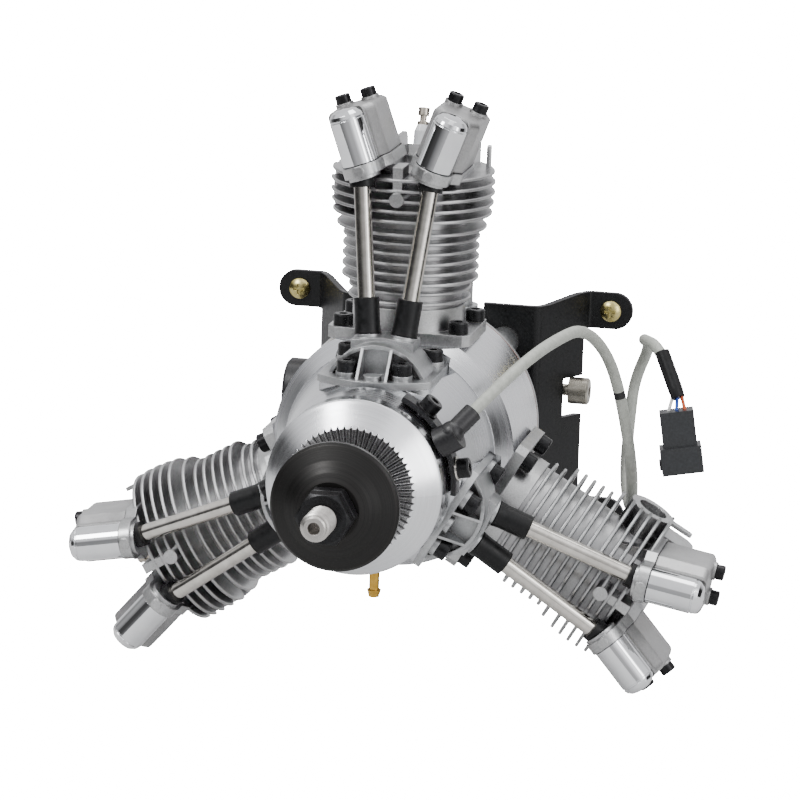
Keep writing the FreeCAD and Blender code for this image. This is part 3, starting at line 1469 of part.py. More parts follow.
def make_mount_bracket():
    lean = Vec(web_back_half_width - bracket_half_width, web_back_station - bracket_front, 0)
    lean.normalize()
    back_x = bracket_half_width + lean.x * (ear_front - bracket_front) / lean.y
    shift = bracket_thickness / lean.y
    bottom = ear_low - ear_height / 2.0
    top = ear_high + ear_height / 2.0
    side = [Vec(bracket_half_width, bracket_front, bottom), Vec(back_x, ear_front, bottom),
            Vec(ear_reach, ear_front, bottom), Vec(ear_reach, ear_back, bottom),
            Vec(back_x - shift + bracket_thickness * lean.x / lean.y, ear_back, bottom),
            Vec(bracket_half_width - shift + bracket_thickness * lean.x / lean.y,
                bracket_front + bracket_thickness, bottom)]
    outline = side + [Vec(-corner.x, corner.y, corner.z) for corner in reversed(side)]
    sheet = prism(outline, AX_Z * (top - bottom))
    bends = [edge for edge in sheet.Edges
             if abs(edge.tangentAt(edge.FirstParameter).z) > 0.9
             and abs(edge.CenterOfMass.x) < ear_reach - 1.0]
    outer_bends = [edge for edge in bends
                   if abs(edge.CenterOfMass.y - bracket_front) < 0.1
                   or abs(edge.CenterOfMass.y - ear_back) < 0.1]
    inner_bends = [edge for edge in bends if edge.hashCode() not in [e.hashCode() for e in outer_bends]]
    sheet = sheet.makeFillet(bracket_bend_radius, outer_bends)
    inner = [edge for edge in sheet.Edges
             if any((edge.CenterOfMass - old.CenterOfMass).Length < 0.1 for old in inner_bends)]
    sheet = sheet.makeFillet(bracket_bend_radius - bracket_thickness, inner)
    web_and_plate = block(-ear_reach - 1.0, ear_reach + 1.0, bracket_front - 1.0, web_back_station,
                          bottom - 1.0, top + 1.0)
    keep = [web_and_plate] + ear_outline(1) + ear_outline(-1)
    sheet = sheet.common(keep[0].multiFuse(keep[1:]))
    tools = []
    for sign, plate_edge, ear_edge in ((-1, bracket_bottom, bottom), (1, bracket_top, top)):
        beyond = ear_edge + sign * 5.0
        slope = prism([Vec(-80, bracket_front - 1.0, plate_edge), Vec(-80, slope_start, plate_edge),
                       Vec(-80, slope_end, ear_edge), Vec(-80, slope_end, beyond),
                       Vec(-80, bracket_front - 1.0, beyond)], AX_X * 160.0)
        tools.append(slope)
        window = block(-bracket_cut_half_width, bracket_cut_half_width, bracket_front - 1.0,
                       bracket_front + bracket_thickness + 1.0,
                       min(sign * bracket_cut_bottom, sign * 50.0),
                       max(sign * bracket_cut_bottom, sign * 50.0))
        corners = [edge for edge in window.Edges
                   if abs(edge.tangentAt(edge.FirstParameter).y) > 0.9
                   and abs(edge.CenterOfMass.z) < bracket_cut_bottom + 1.0]
        tools.append(window.makeFillet(bracket_cut_corner, corners))
    tools.append(rod(inlet_neck_radius + 0.5, Vec(0, bracket_front - 1.0, inlet_height),
                     Vec(0, bracket_front + 5.0, inlet_height)))
    tools.append(block(bracket_half_width, ear_reach, notch_front, ear_back, notch_low, notch_high))
    reach = funnel_radius + funnel_notch_gap
    tools.append(block(-ear_reach, -bracket_half_width, carb_station, ear_back,
                       inlet_height - reach, inlet_height + reach))
    tools.append(rod(reach, Vec(-ear_reach, carb_station, inlet_height),
                     Vec(-bracket_half_width + 4.0, carb_station, inlet_height)))
    for seat in bracket_screw_seats():
        tools.append(screw_hole(seat, AX_Y, m5_radius, 5.0))
    for seat in firewall_screw_seats():
        tools.append(rod(ear_hole_radius, seat - AX_Y, seat + AX_Y * (bracket_thickness + 1.0)))
    return cut(sheet, tools)


def firewall_screw_seats():
    """Where the heads of the four firewall screws sit on the ears."""
    offsets = (-ear_hole_offset, ear_hole_offset)
    return [Vec(x, ear_front, z) for x in offsets for z in (ear_low, ear_high)]


def make_firewall_screw(seat):
    head = Part.makeSphere(pan_head_radius * 1.35, seat + AX_Y * (pan_head_radius * 1.35 - pan_head_height))
    head = head.common(rod(pan_head_radius, seat - AX_Y * pan_head_height, seat))
    stud_foot = seat + AX_Y * bracket_thickness
    neck = rod(m4_radius - stud_neck_step, seat, stud_foot)
    stud = rod(m4_radius, stud_foot, stud_foot + AX_Y * stud_length)
    slots = []
    front = seat.y - pan_head_height
    for wide, tall in ((2.0, 0.5), (0.5, 2.0)):
        slots.append(block(seat.x - wide, seat.x + wide, front - 0.1, front + 1.2,
                           seat.z - tall, seat.z + tall))
    return cut(fuse([head, neck, stud]), slots)


# Carburettor

def make_carburettor():
    low = inlet_height - carb_half_height
    high = inlet_height + carb_half_height
    front = carb_station - carb_half_depth
    back = carb_station + carb_half_depth
    neck_end = bracket_front + bracket_thickness + 0.4
    elbow = block(elbow_left, elbow_right, neck_end + 0.02, back, low, high)
    upright = [edge for edge in elbow.Edges if edge.CenterOfMass.x > elbow_right - 0.1]
    elbow = elbow.makeChamfer(2.5, upright)
    elbow_bores = [rod(inlet_bore_radius, Vec(0, neck_end - 1.0, inlet_height),
                       Vec(0, carb_station, inlet_height)),
                   rod(inlet_bore_radius, Vec(elbow_left - 1.0, carb_station, inlet_height),
                       Vec(3.0, carb_station, inlet_height))]
    insulator = block(carb_right, elbow_left, front, back, low, high)
    insulator = insulator.cut(rod(carb_bore_radius, Vec(carb_right - 1.0, carb_station, inlet_height),
                                  Vec(elbow_left + 1.0, carb_station, inlet_height)))
    core = block(carb_left, carb_right, front, back, low + pump_cover_thickness, high)
    boss = rod(3.4, Vec(spindle_x, carb_station, high - 1.0), Vec(spindle_x, carb_station, high + 1.2))
    cover = block(carb_left + 1.5, carb_right - 1.5, front + 1.0, back - 1.0,
                  low, low + pump_cover_thickness)
    cover = cover.makeFillet(1.5, [edge for edge in cover.Edges
                                   if abs(edge.tangentAt(edge.FirstParameter).z) > 0.9])
    body_bore = rod(carb_bore_radius, Vec(carb_left - 1.0, carb_station, inlet_height),
                    Vec(carb_right + 1.0, carb_station, inlet_height))
    spindle_bore = rod(spindle_radius + running_gap,
                       Vec(spindle_x, carb_station, low + pump_cover_thickness - 0.4),
                       Vec(spindle_x, carb_station, high + 3.0))
    stop_foot = Vec(elbow_right, stop_screw_station, stop_screw_height)
    stop_head = Vec(stop_screw_head_left, stop_screw_station, stop_screw_height)
    stop_screw = cap_screw(stop_head, AX_X, stop_screw_head_radius, stop_screw_head_length,
                           stop_screw_radius, stop_head.x - stop_foot.x + 5.0)
    elbow_bores.append(screw_hole(stop_foot, AX_X, stop_screw_radius, 4.0))
    funnel = Part.Face(Part.makePolygon([
        Vec(carb_left, carb_bore_radius + 0.6, 0), Vec(carb_left, funnel_radius, 0),
        Vec(carb_left - funnel_length + 1.0, funnel_radius, 0),
        Vec(carb_left - funnel_length, funnel_radius - 1.0, 0),
        Vec(carb_left - funnel_length, funnel_radius - 2.0, 0),
        Vec(carb_left - funnel_length + 3.0, funnel_throat_radius, 0),
        Vec(carb_left, carb_bore_radius + 0.6, 0)])).revolve(ORIGIN, AX_X, 360)
    funnel = funnel.translated(Vec(0, carb_station, inlet_height))
    body = cut(fuse([core, boss]), [body_bore, spindle_bore])
    return [cut(elbow, elbow_bores), insulator, body, cover, funnel, stop_screw]


def make_throttle():
    high = inlet_height + carb_half_height
    axis_point = Vec(spindle_x, carb_station, 0)
    bottom = inlet_height - carb_half_height + pump_cover_thickness + 0.2
    lever_low = high + lever_gap
    top = lever_low + lever_thickness + 1.2
    spindle = rod(spindle_radius, axis_point + AX_Z * bottom, axis_point + AX_Z * top)
    centre = axis_point + AX_Z * inlet_height
    plate = rod(butterfly_radius, centre - AX_X * (butterfly_thickness / 2.0),
                centre + AX_X * (butterfly_thickness / 2.0))
    lever_top = lever_low + lever_thickness
    far = axis_point + AX_X * lever_length
    lever = fuse([
        block(axis_point.x, far.x, carb_station - lever_half_width, carb_station + lever_half_width,
              lever_low, lever_top),
        rod(lever_half_width, far + AX_Z * lever_low, far + AX_Z * lever_top),
        rod(lever_half_width + 0.8, axis_point + AX_Z * lever_low, axis_point + AX_Z * lever_top)])
    lever = lever.cut(rod(lever_hole_radius, far + AX_Z * (lever_low - 1.0), far + AX_Z * (lever_top + 1.0)))
    lever = lever.rotated(axis_point, AX_Z, lever_rest_angle)
    return fuse([spindle, plate, lever])


def make_breather():
    top = Vec(0, breather_station, breather_top)
    hex_end = Vec(0, breather_station, breather_hex_bottom)
    end = Vec(0, breather_station, breather_bottom)
    inner = Vec(0, breather_station, -nose_cavity_radius - 1.0)
    return nipple(inner, top, hex_end, end)


def nipple(inner, top, hex_end, end):
    """A barbed hose nipple from its thread's end to its tip."""
    axis = (end - top).normalize()
    barb = end - axis * 2.6
    body = fuse([rod(nipple_radius, inner, top), hexagon(nipple_hex_flats, top, hex_end),
                 rod(nipple_radius, hex_end, end), taper(nipple_barb_radius, nipple_radius, barb, end)])
    return body.cut(rod(nipple_bore_radius, inner - axis, end + axis))


def make_fuel_nipple():
    low = inlet_height - carb_half_height
    x = (carb_left + carb_right) / 2.0
    start = Vec(x, carb_station, low)
    return nipple(start + AX_Z * 0.0 - AX_Z * 0.02, start - AX_Z * 0.04, start - AX_Z * 2.6,
                  start - AX_Z * 11.0)


# Speed sensor and its cable

def sensor_screw_seats():
    """Where the two sensor screws' washers sit, with the direction out of the housing."""
    seats = []
    radius = nose_radius(sensor_screw_station) + strap_thickness
    for spread in (-sensor_screw_spread, sensor_screw_spread):
        angle = math.radians(sensor_angle + spread)
        outward = Vec(math.sin(angle), 0, math.cos(angle))
        seats.append((outward * radius + AX_Y * sensor_screw_station, outward))
    return seats


def make_sensor_holder():
    inner = nose_radius(sensor_screw_station + strap_width / 2.0) + 0.1
    outer = nose_radius(sensor_screw_station) + strap_thickness
    front = sensor_screw_station - strap_width / 2.0
    back = sensor_screw_station + strap_width / 2.0
    ring = tube(outer, inner, AX_Y * front, AX_Y * back)
    reach = 3.0 * outer
    corners = [Vec(0, front - 1.0, 0)]
    for share in (-1.0, 0.0, 1.0):
        angle = math.radians(sensor_angle + share * sensor_strap_spread)
        corners.append(Vec(reach * math.sin(angle), front - 1.0, reach * math.cos(angle)))
    strap = ring.common(prism(corners, AX_Y * (strap_width + 2.0)))
    outward = Vec(math.sin(math.radians(sensor_angle)), 0, math.cos(math.radians(sensor_angle)))
    solids = [strap]
    centre_radius = (sensor_body_centre.x ** 2 + sensor_body_centre.z ** 2) ** 0.5
    low_radius = hub_rim_radius + 0.8
    foot = outward * low_radius + AX_Y * sensor_body_centre.y
    top = outward * (low_radius + sensor_body_length * 0.62) + AX_Y * sensor_body_centre.y
    solids.append(rod(sensor_body_radius, foot, top))
    arm_foot = outward * inner + AX_Y * (back - 1.0)
    arm = block(-4.2, 4.2, sensor_body_centre.y, back - 1.0, centre_radius - 3.4, centre_radius + 1.8)
    solids.append(arm.rotated(ORIGIN, AX_Y, sensor_angle))
    exit_direction = (cable_route[1] - cable_route[0]).normalize()
    tube_start = cable_exit - exit_direction * sensor_tube_length
    solids.append(rod(sensor_tube_radius, tube_start, cable_exit))
    solids.append(Part.makeSphere(sensor_tube_radius + 0.8, tube_start))
    body = fuse(solids)
    cone = revolve_y([(0, nose_front_station), (nose_front_radius + 0.1, nose_front_station),
                      (nose_back_radius + 0.1, case_front_station), (0, case_front_station)])
    hub_room = rod(hub_rim_radius + 0.6, AX_Y * (hub_face_station), AX_Y * nose_front_station)
    tools = [cone, hub_room]
    for seat, direction in sensor_screw_seats():
        tools.append(screw_hole(seat, direction, m4_radius, m4_screw_length))
        tools.append(rod(sensor_washer_radius + 0.2, seat, seat + direction * 12.0))
    return cut(body, tools)


def sensor_screws():
    """The sensor's two screws and their washers."""
    pieces = []
    for seat, outward in sensor_screw_seats():
        washer_top = seat + outward * sensor_washer_thickness
        pieces.append(tube(sensor_washer_radius, m4_radius + screw_hole_gap, seat, washer_top))
        pieces.append(m4_screw(washer_top, outward))
    return pieces


cable_route = [
    cable_exit,
    Vec(45.6, -64.5, 35.2),
    Vec(52.6, -48.0, 41.6),
    Vec(58.3, -28.2, 44.5),
    Vec(63.7, -8.2, 45.1),
    Vec(69.8, 7.2, 34.9),
    Vec(74.0, 17.7, 18.5),
    Vec(79.9, 20.1, -11.8),
    Vec(77.5, 34.2, -31.6),
    Vec(71.9, 56.6, -23.2),
    Vec(71.8, 58.6, 1.2),
    Vec(73.6, 59.8, 15.7),
    Vec(80.2, 57.5, 34.4),
    Vec(74.7, 40.7, 43.8),
    Vec(84.6, 24.3, 39.2),
    Vec(92.2, 17.3, 24.7),
]
sleeve_radius = 2.65
sleeve_end_radius = 2.35
sleeve_overlap = 9.6
sleeve_length = 8.4
sleeve_taper = 3.0
wire_radius = 0.65
wire_pitch = 3.2
wire_spacing = 1.4
wire_insert = 1.4
connector_top = Vec(95.3, 13.0, 13.6)
connector_width = 12.1
connector_depth = 6.6
connector_length = 12.9
connector_lip_width = 14.8
connector_lip_depth = 8.6
connector_lip_length = 9.8
connector_tilt = 8.9
connector_turn = 11.4


def round_path(points):
    """Straight runs with the largest tangent arcs, and the radius at each corner."""
    edges = []
    radii = []
    here = points[0]
    for before, corner, after in zip(points, points[1:], points[2:]):
        inward = (corner - before).normalize()
        outward = (after - corner).normalize()
        reach = 0.45 * min((corner - before).Length, (after - corner).Length)
        half_turn = inward.getAngle(outward) / 2.0
        radius = reach / math.tan(half_turn)
        bisector = (outward - inward).normalize()
        centre = corner + bisector * (radius / math.cos(half_turn))
        start = corner - inward * reach
        end = corner + outward * reach
        edges.append(Part.makeLine(here, start))
        edges.append(Part.Arc(start, centre - bisector * radius, end).toShape())
        radii.append(radius)
        here = end
    edges.append(Part.makeLine(here, points[-1]))
    return Part.Wire(edges), radii


def make_cable():
    path, radii = round_path(cable_route)
    start_direction = (cable_route[1] - cable_route[0]).normalize()
    profile = Part.Wire([Part.makeCircle(cable_radius, cable_route[0], start_direction)])
    cable = path.makePipeShell([profile], True, False)
    print("cable length %.1f, volume share %.4f, radii %s" % (
        path.Length, cable.Volume / (math.pi * cable_radius ** 2 * path.Length),
        [round(radius, 1) for radius in radii]))
    return cable


def make_sleeve():
    axis = cable_end_direction()
    end = cable_route[-1]
    low = end + axis * sleeve_length
    neck = low - axis * sleeve_taper
    body = fuse([rod(sleeve_radius, end - axis * sleeve_overlap, neck),
                 taper(sleeve_radius, sleeve_end_radius, neck, low)])
    bore = rod(cable_radius + fit_gap, end - axis * (sleeve_overlap + 1.0), end + axis * fit_gap)
    return cut(body, [bore] + [wire_rod(wire_radius + fit_gap, step) for step in (-1, 0, 1)])


def cable_end_direction():
    """The direction in which the cable runs at its last point."""
    return (cable_route[-1] - cable_route[-2]).normalize()


def connector_direction(direction):
    """A direction of the upright connector, leaned and turned as the connector is."""
    lean = FreeCAD.Rotation(AX_Y, -connector_tilt)
    turn = FreeCAD.Rotation(AX_Z, connector_turn)
    return turn.multVec(lean.multVec(direction))


def wire_rod(radius, step):
    """One of the three loose wires between the sleeve and the connector."""
    across = connector_direction(AX_X)
    down = connector_direction(-AX_Z)
    low = connector_top + across * (wire_pitch * step) + down * wire_insert
    axis = cable_end_direction()
    high = cable_route[-1] + axis * (sleeve_length - wire_insert) + across * (wire_spacing * step)
    return rod(radius, low, high)


def make_connector():
    half = connector_width / 2.0
    lip_half = connector_lip_width / 2.0
    depth = connector_depth / 2.0
    lip_depth = connector_lip_depth / 2.0
    end = -connector_length - connector_lip_length
    body = block(-half, half, -depth, depth, -connector_length, 0)
    lip = block(-lip_half, lip_half, -lip_depth, lip_depth, end, -connector_length)
    contacts = [block(wire_pitch * step - 0.5, wire_pitch * step + 0.5, -0.5, 0.5, end - 1.0, end + 6.0)
                for step in (-1, 0, 1)]
    key = block(-lip_half - 0.7, -lip_half, -1.6, 1.6, end + 1.8, end + 5.2)
    shell = cut(fuse([body, lip, key]), contacts)
    shell = shell.rotated(ORIGIN, AX_Y, -connector_tilt).rotated(ORIGIN, AX_Z, connector_turn)
    shell = shell.translated(connector_top)
    steps = (-1, 0, 1)
    shell = cut(shell, [wire_rod(wire_radius + fit_gap, step) for step in steps])
    return [shell] + [wire_rod(wire_radius, step) for step in steps]


# Every sub-part

def build():
    os.makedirs("parts", exist_ok=True)
    save("crankshaft", [make_crankshaft()])
    save("drive_hub", make_drive_hub())
    save("prop_washer", [make_prop_washer()])
    save("prop_nuts", [make_nut(washer_front_station), make_nut(washer_front_station - nut_thickness)])
    save("idler_gear", [make_idler_gear()])
    save("cam_ring", [make_cam_ring()])
    piston = make_piston()
    connecting_rod = make_rod()
    cylinder = make_cylinder()
    pushrods = {"intake": make_pushrod(1), "exhaust": make_pushrod(0)}
    rocker = [boxed(part) for part in make_rocker()]
    valve = [boxed(part) for part in make_valve()]
    for index in range(cylinder_count):
        number = str(index + 1)
        save("piston_" + number, place_piston(piston, index))
        save("connecting_rod_" + number, [place_rod(connecting_rod, index)])
        save("cylinder_" + number, [on_cylinder(cylinder, index)])
        for name, flip in (("intake", False), ("exhaust", True)):
            sets = (("pushrod_", pushrods[name]), ("rocker_", rocker), ("valve_", valve))
            for prefix, shapes in sets:
                sided = [mirrored(shape) if flip else shape for shape in shapes]
                save(prefix + number + "_" + name, [on_cylinder(shape, index) for shape in sided])
    save("throttle_valve", [make_throttle()])
    save("crankcase", [make_crankcase()])
    save("front_housing", [make_front_housing()])
    save("rear_cover", [make_rear_cover()])
    save("case_gasket", [make_case_gasket()])
    save("main_bearings", [
        make_bearing(rear_bearing_radius, journal_radius, rear_bearing_station, rear_bearing_width),
        make_bearing(front_bearing_radius, shaft_radius, front_bearing_station, front_bearing_width)])
    m4_pieces = []
    for offset, station in tappet_screws:
        m4_pieces += both_sides(m4_screw(Vec(offset, station, plate_top + tappet_screw_boss_height), AX_Z))
    for offset, station in flange_screws:
        m4_pieces += both_sides(m4_screw(Vec(offset, station, flange_top), AX_Z))
    save("cap_screws", on_each_cylinder(m4_pieces) + sensor_screws())
    save("tappet_housings", on_each_cylinder([make_tappet_housing()]))
    cover_screws = []
    for across in (-box_screw_offset, box_screw_offset):
        seat = Vec(across, box_screw_station, box_top + box_screw_boss_height)
        cover_screws.append(cap_screw(seat, AX_Z, m3_head_radius, m3_head_height, m3_radius,
                                      m3_cover_screw_length))
    groups = (("rocker_covers", [make_cover()]), ("rocker_cover_caps", [make_cap()]),
              ("cover_seals", [make_cover_seal()]), ("rocker_shafts", [make_rocker_shaft()]),
              ("valve_springs", [make_spring()]))
    for name, shapes in groups:
        pair = [side for shape in shapes for side in both_sides(boxed(shape))]
        save(name, on_each_cylinder(pair))
    small = [side for screw in cover_screws for side in both_sides(boxed(screw))]
    small += [cap_screw(seat, AX_Y, m2_head_radius, m2_head_height, m2_radius, rear_screw_length)
              for seat in pipe_screw_seats()]
    rear = [cap_screw(seat, AX_Y, m3_head_radius, m3_head_height, m3_radius, rear_screw_length)
            for seat in rear_screw_seats()]
    save("small_cap_screws", on_each_cylinder(small) + rear)
    save("pushrod_tubes", on_each_cylinder(both_sides(make_pushrod_tube())))
    save("pushrod_seals", on_each_cylinder(both_sides(make_boot()) + both_sides(make_tube_seal())))
    save("spark_plugs", on_each_cylinder(make_spark_plug()))
    save("carburettor", make_carburettor())
    save("intake_pipes", on_each_cylinder([make_intake_pipe()]))
    save("mount_bracket", [make_mount_bracket()])
    save("bracket_screws", [cap_screw(seat, AX_Y, m5_head_radius, m5_head_height, m5_radius, 13.0)
                            for seat in bracket_screw_seats()])
    save("firewall_screws", [make_firewall_screw(seat) for seat in firewall_screw_seats()])
    save("hose_nipples", [make_breather(), make_fuel_nipple()])
    save("sensor_holder", [make_sensor_holder()])
    save("sensor_cable", [make_cable()])
    save("cable_sleeve", [make_sleeve()])
    save("cable_connector", make_connector())


def make_rocker_shaft():
    """The fixed shaft that a rocker turns on, in the box frame."""
    centre = Vec(0, rocker_pivot_station, rocker_pivot_height)
    half = AX_X * (rocker_shaft_length / 2.0)
    return rod(rocker_shaft_radius, centre - half, centre + half)


build()
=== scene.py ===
import math

import bmesh
import bpy
from mathutils import Matrix, Vector


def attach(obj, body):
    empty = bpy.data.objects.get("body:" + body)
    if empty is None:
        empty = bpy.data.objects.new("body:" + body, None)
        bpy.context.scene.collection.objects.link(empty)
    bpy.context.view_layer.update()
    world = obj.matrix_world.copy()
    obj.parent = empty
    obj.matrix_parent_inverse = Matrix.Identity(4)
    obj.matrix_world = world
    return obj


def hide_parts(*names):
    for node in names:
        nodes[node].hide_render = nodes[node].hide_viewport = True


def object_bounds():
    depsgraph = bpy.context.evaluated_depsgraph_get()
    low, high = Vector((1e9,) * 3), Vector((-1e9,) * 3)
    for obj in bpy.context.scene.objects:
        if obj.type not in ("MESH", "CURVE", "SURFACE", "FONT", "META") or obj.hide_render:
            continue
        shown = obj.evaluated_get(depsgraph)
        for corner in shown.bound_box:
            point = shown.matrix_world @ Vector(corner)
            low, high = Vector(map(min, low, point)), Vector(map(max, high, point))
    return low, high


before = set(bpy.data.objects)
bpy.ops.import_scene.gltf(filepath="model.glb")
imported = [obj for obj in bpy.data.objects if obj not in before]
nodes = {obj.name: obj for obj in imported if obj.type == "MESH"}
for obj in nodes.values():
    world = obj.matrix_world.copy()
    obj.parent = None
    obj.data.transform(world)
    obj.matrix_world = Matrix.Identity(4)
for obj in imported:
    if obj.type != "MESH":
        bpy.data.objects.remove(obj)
cad_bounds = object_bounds()

# Places, in metres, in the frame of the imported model.
# The crankshaft runs along Y at this height, and the cylinders stand in this plane.
MM = 0.001
AXIS_Z = 6.2 * MM
CYLINDER_Y = -88.0 * MM
CYLINDERS = 3


def place(x, y, z):
    """A point given in millimetres about the crankshaft and the plane of the cylinders."""
    return Vector((x * MM, y * MM + CYLINDER_Y, z * MM + AXIS_Z))


# Camera

CAMERA_AZIMUTH = 11.385
CAMERA_ELEVATION = 12.478
CAMERA_ROLL = 1.997
CAMERA_DISTANCE = 1740.2
CAMERA_TARGET = (-2.507, 0.0, 13.222)
FOCAL_PIXELS = 4884.9
FRAME_PIXELS = 800.0
PRINCIPAL_POINT = (399.03, 397.43)


def add_camera():
    azimuth, elevation, roll = (math.radians(a) for a in (CAMERA_AZIMUTH, CAMERA_ELEVATION, CAMERA_ROLL))
    back = Vector((math.sin(azimuth) * math.cos(elevation), -math.cos(azimuth) * math.cos(elevation),
                   math.sin(elevation)))
    right = Vector((math.cos(azimuth), math.sin(azimuth), 0))
    up = back.cross(right)
    rolled_right = right * math.cos(roll) + up * math.sin(roll)
    rolled_up = up * math.cos(roll) - right * math.sin(roll)
    data = bpy.data.cameras.new("camera")
    data.sensor_width = 36.0
    data.lens = FOCAL_PIXELS / FRAME_PIXELS * data.sensor_width
    data.shift_x = 0.5 - PRINCIPAL_POINT[0] / FRAME_PIXELS
    data.shift_y = PRINCIPAL_POINT[1] / FRAME_PIXELS - 0.5
    data.clip_start = 0.05
    data.clip_end = 20.0
    camera = bpy.data.objects.new("camera", data)
    bpy.context.scene.collection.objects.link(camera)
    turn = Matrix((rolled_right, rolled_up, back)).transposed().to_4x4()
    camera.matrix_world = Matrix.Translation(place(*CAMERA_TARGET) + back * CAMERA_DISTANCE * MM) @ turn
    bpy.context.scene.camera = camera


add_camera()


# Materials

class Shader:
    """A material with a Principled shader and short ways to wire nodes to it."""

    def __init__(self, name, **values):
        self.material = bpy.data.materials.new(name)
        self.material.use_nodes = True
        self.tree = self.material.node_tree
        self.shader = self.tree.nodes["Principled BSDF"]
        for key, value in values.items():
            socket = self.shader.inputs[key.replace("_", " ")]
            socket.default_value = (*value, 1.0) if isinstance(value, tuple) else value

    def node(self, kind, **values):
        made = self.tree.nodes.new(kind)
        for key, value in values.items():
            setattr(made, key, value)
        return made

    def link(self, source, target):
        self.tree.links.new(source, target)

    def math(self, operation, first, second=None):
        made = self.node("ShaderNodeMath", operation=operation)
        for index, value in enumerate((first, second)):
            if value is None:
                continue
            if isinstance(value, (int, float)):
                made.inputs[index].default_value = value
            else:
                self.link(value, made.inputs[index])
        return made.outputs[0]

    def coordinates(self):
        return self.node("ShaderNodeTexCoord").outputs["Object"]

    def turned(self):
        """Coordinates that change only with the distance from the crankshaft and along it."""
        split = self.node("ShaderNodeSeparateXYZ")
        self.link(self.coordinates(), split.inputs[0])
        height = self.math("SUBTRACT", split.outputs[2], AXIS_Z)
        squares = self.math("ADD", self.math("MULTIPLY", split.outputs[0], split.outputs[0]),
                            self.math("MULTIPLY", height, height))
        joined = self.node("ShaderNodeCombineXYZ")
        self.link(self.math("SQRT", squares), joined.inputs[0])
        self.link(split.outputs[1], joined.inputs[1])
        return joined.outputs[0]

    def around(self):
        """The direction round the crankshaft, for brushed highlights."""
        split = self.node("ShaderNodeSeparateXYZ")
        self.link(self.node("ShaderNodeNewGeometry").outputs["Position"], split.inputs[0])
        joined = self.node("ShaderNodeCombineXYZ")
        self.link(self.math("SUBTRACT", split.outputs[2], AXIS_Z), joined.inputs[0])
        self.link(self.math("MULTIPLY", split.outputs[0], -1.0), joined.inputs[2])
        unit = self.node("ShaderNodeVectorMath", operation="NORMALIZE")
        self.link(joined.outputs[0], unit.inputs[0])
        return unit.outputs[0]

    def noise(self, scale, vector=None, detail=3.0, roughness=0.55):
        made = self.node("ShaderNodeTexNoise")
        made.inputs["Scale"].default_value = scale
        made.inputs["Detail"].default_value = detail
        made.inputs["Roughness"].default_value = roughness
        self.link(vector or self.coordinates(), made.inputs["Vector"])
        return made.outputs["Fac"]

    def spread(self, value, low, high, start=0.3, end=0.7):
        made = self.node("ShaderNodeMapRange")
        made.inputs["From Min"].default_value = start
        made.inputs["From Max"].default_value = end
        made.inputs["To Min"].default_value = low
        made.inputs["To Max"].default_value = high
        self.link(value, made.inputs["Value"])
        return made.outputs[0]

    def tint(self, value, low, high):
        made = self.node("ShaderNodeMix", data_type="RGBA")
        self.link(value, made.inputs[0])
        made.inputs[6].default_value = (*low, 1.0)
        made.inputs[7].default_value = (*high, 1.0)
        self.link(made.outputs[2], self.shader.inputs["Base Color"])
        return made.outputs[2]

    def crevice_dirt_and_shade(self, colour, dirt_and_shade, reach, start=0.1, end=0.8):
        """Darken the colour where other faces stand close: grime in a casting's hollows and painted shade."""
        # Painted shade: ambient occlusion darkens the base colour where faces stand close.
        open_share = self.node("ShaderNodeAmbientOcclusion", samples=5)
        open_share.inputs["Distance"].default_value = reach
        share = self.spread(open_share.outputs["AO"], 0.0, 1.0, start, end)
        made = self.node("ShaderNodeMix", data_type="RGBA")
        self.link(share, made.inputs[0])
        made.inputs[6].default_value = (*dirt_and_shade, 1.0)
        self.link(colour, made.inputs[7])
        self.link(made.outputs[2], self.shader.inputs["Base Color"])

    def rough(self, value, low, high):
        self.link(self.spread(value, low, high), self.shader.inputs["Roughness"])

    def bump(self, heights, bevel=0.0):
        """Bumps from (value, depth in metres) pairs, over edges rounded by a bevel radius."""
        normal = None
        if bevel:
            rounded = self.node("ShaderNodeBevel", samples=4)
            rounded.inputs["Radius"].default_value = bevel
            normal = rounded.outputs[0]
        for value, depth in heights:
            made = self.node("ShaderNodeBump")
            made.inputs["Strength"].default_value = 1.0
            made.inputs["Distance"].default_value = depth
            self.link(value, made.inputs["Height"])
            if normal:
                self.link(normal, made.inputs["Normal"])
            normal = made.outputs[0]
        self.link(normal, self.shader.inputs["Normal"])


def turned_metal(name, low, high, rough, lines=5000.0, depth=0.000003, bevel=0.0003, anisotropic=0.55,
                 metallic=1.0):
    """Metal off a lathe, with rings about the crankshaft."""
    s = Shader(name, Metallic=metallic, Anisotropic=anisotropic)
    rings = s.noise(lines, s.turned(), detail=4.0, roughness=0.7)
    broad = s.noise(350.0, s.turned(), detail=2.0)
    s.tint(s.spread(rings, 0.0, 1.0), low, high)
    s.rough(broad, rough * 0.8, rough * 1.25)
    s.link(s.around(), s.shader.inputs["Tangent"])
    s.bump([(rings, depth)], bevel)
    return s.material


def cast_metal(name, low, high, rough, grain=2600.0, depth=0.00004, bevel=0.0004, metallic=1.0,
               dirt_and_shade=(0.16, 0.16, 0.16), reach=0.005):
    """A blasted or raw casting: fine grain, soft blotches, rounded edges, and crevices darkened in colour by
    grime and painted shade.
    """
    s = Shader(name, Metallic=metallic)
    fine = s.noise(grain, detail=4.0, roughness=0.65)
    blotch = s.noise(90.0, detail=4.0)
    both = s.math("ADD", s.math("MULTIPLY", fine, 0.45), s.math("MULTIPLY", blotch, 0.55))
    # The base colour in crevices is darkened toward a colour that stands for grime and painted shade.
    s.crevice_dirt_and_shade(s.tint(s.spread(both, 0.0, 1.0, 0.38, 0.62), low, high), dirt_and_shade, reach)
    s.rough(both, rough * 0.85, rough * 1.2)
    s.bump([(blotch, depth * 1.5), (fine, depth)], bevel)
    return s.material


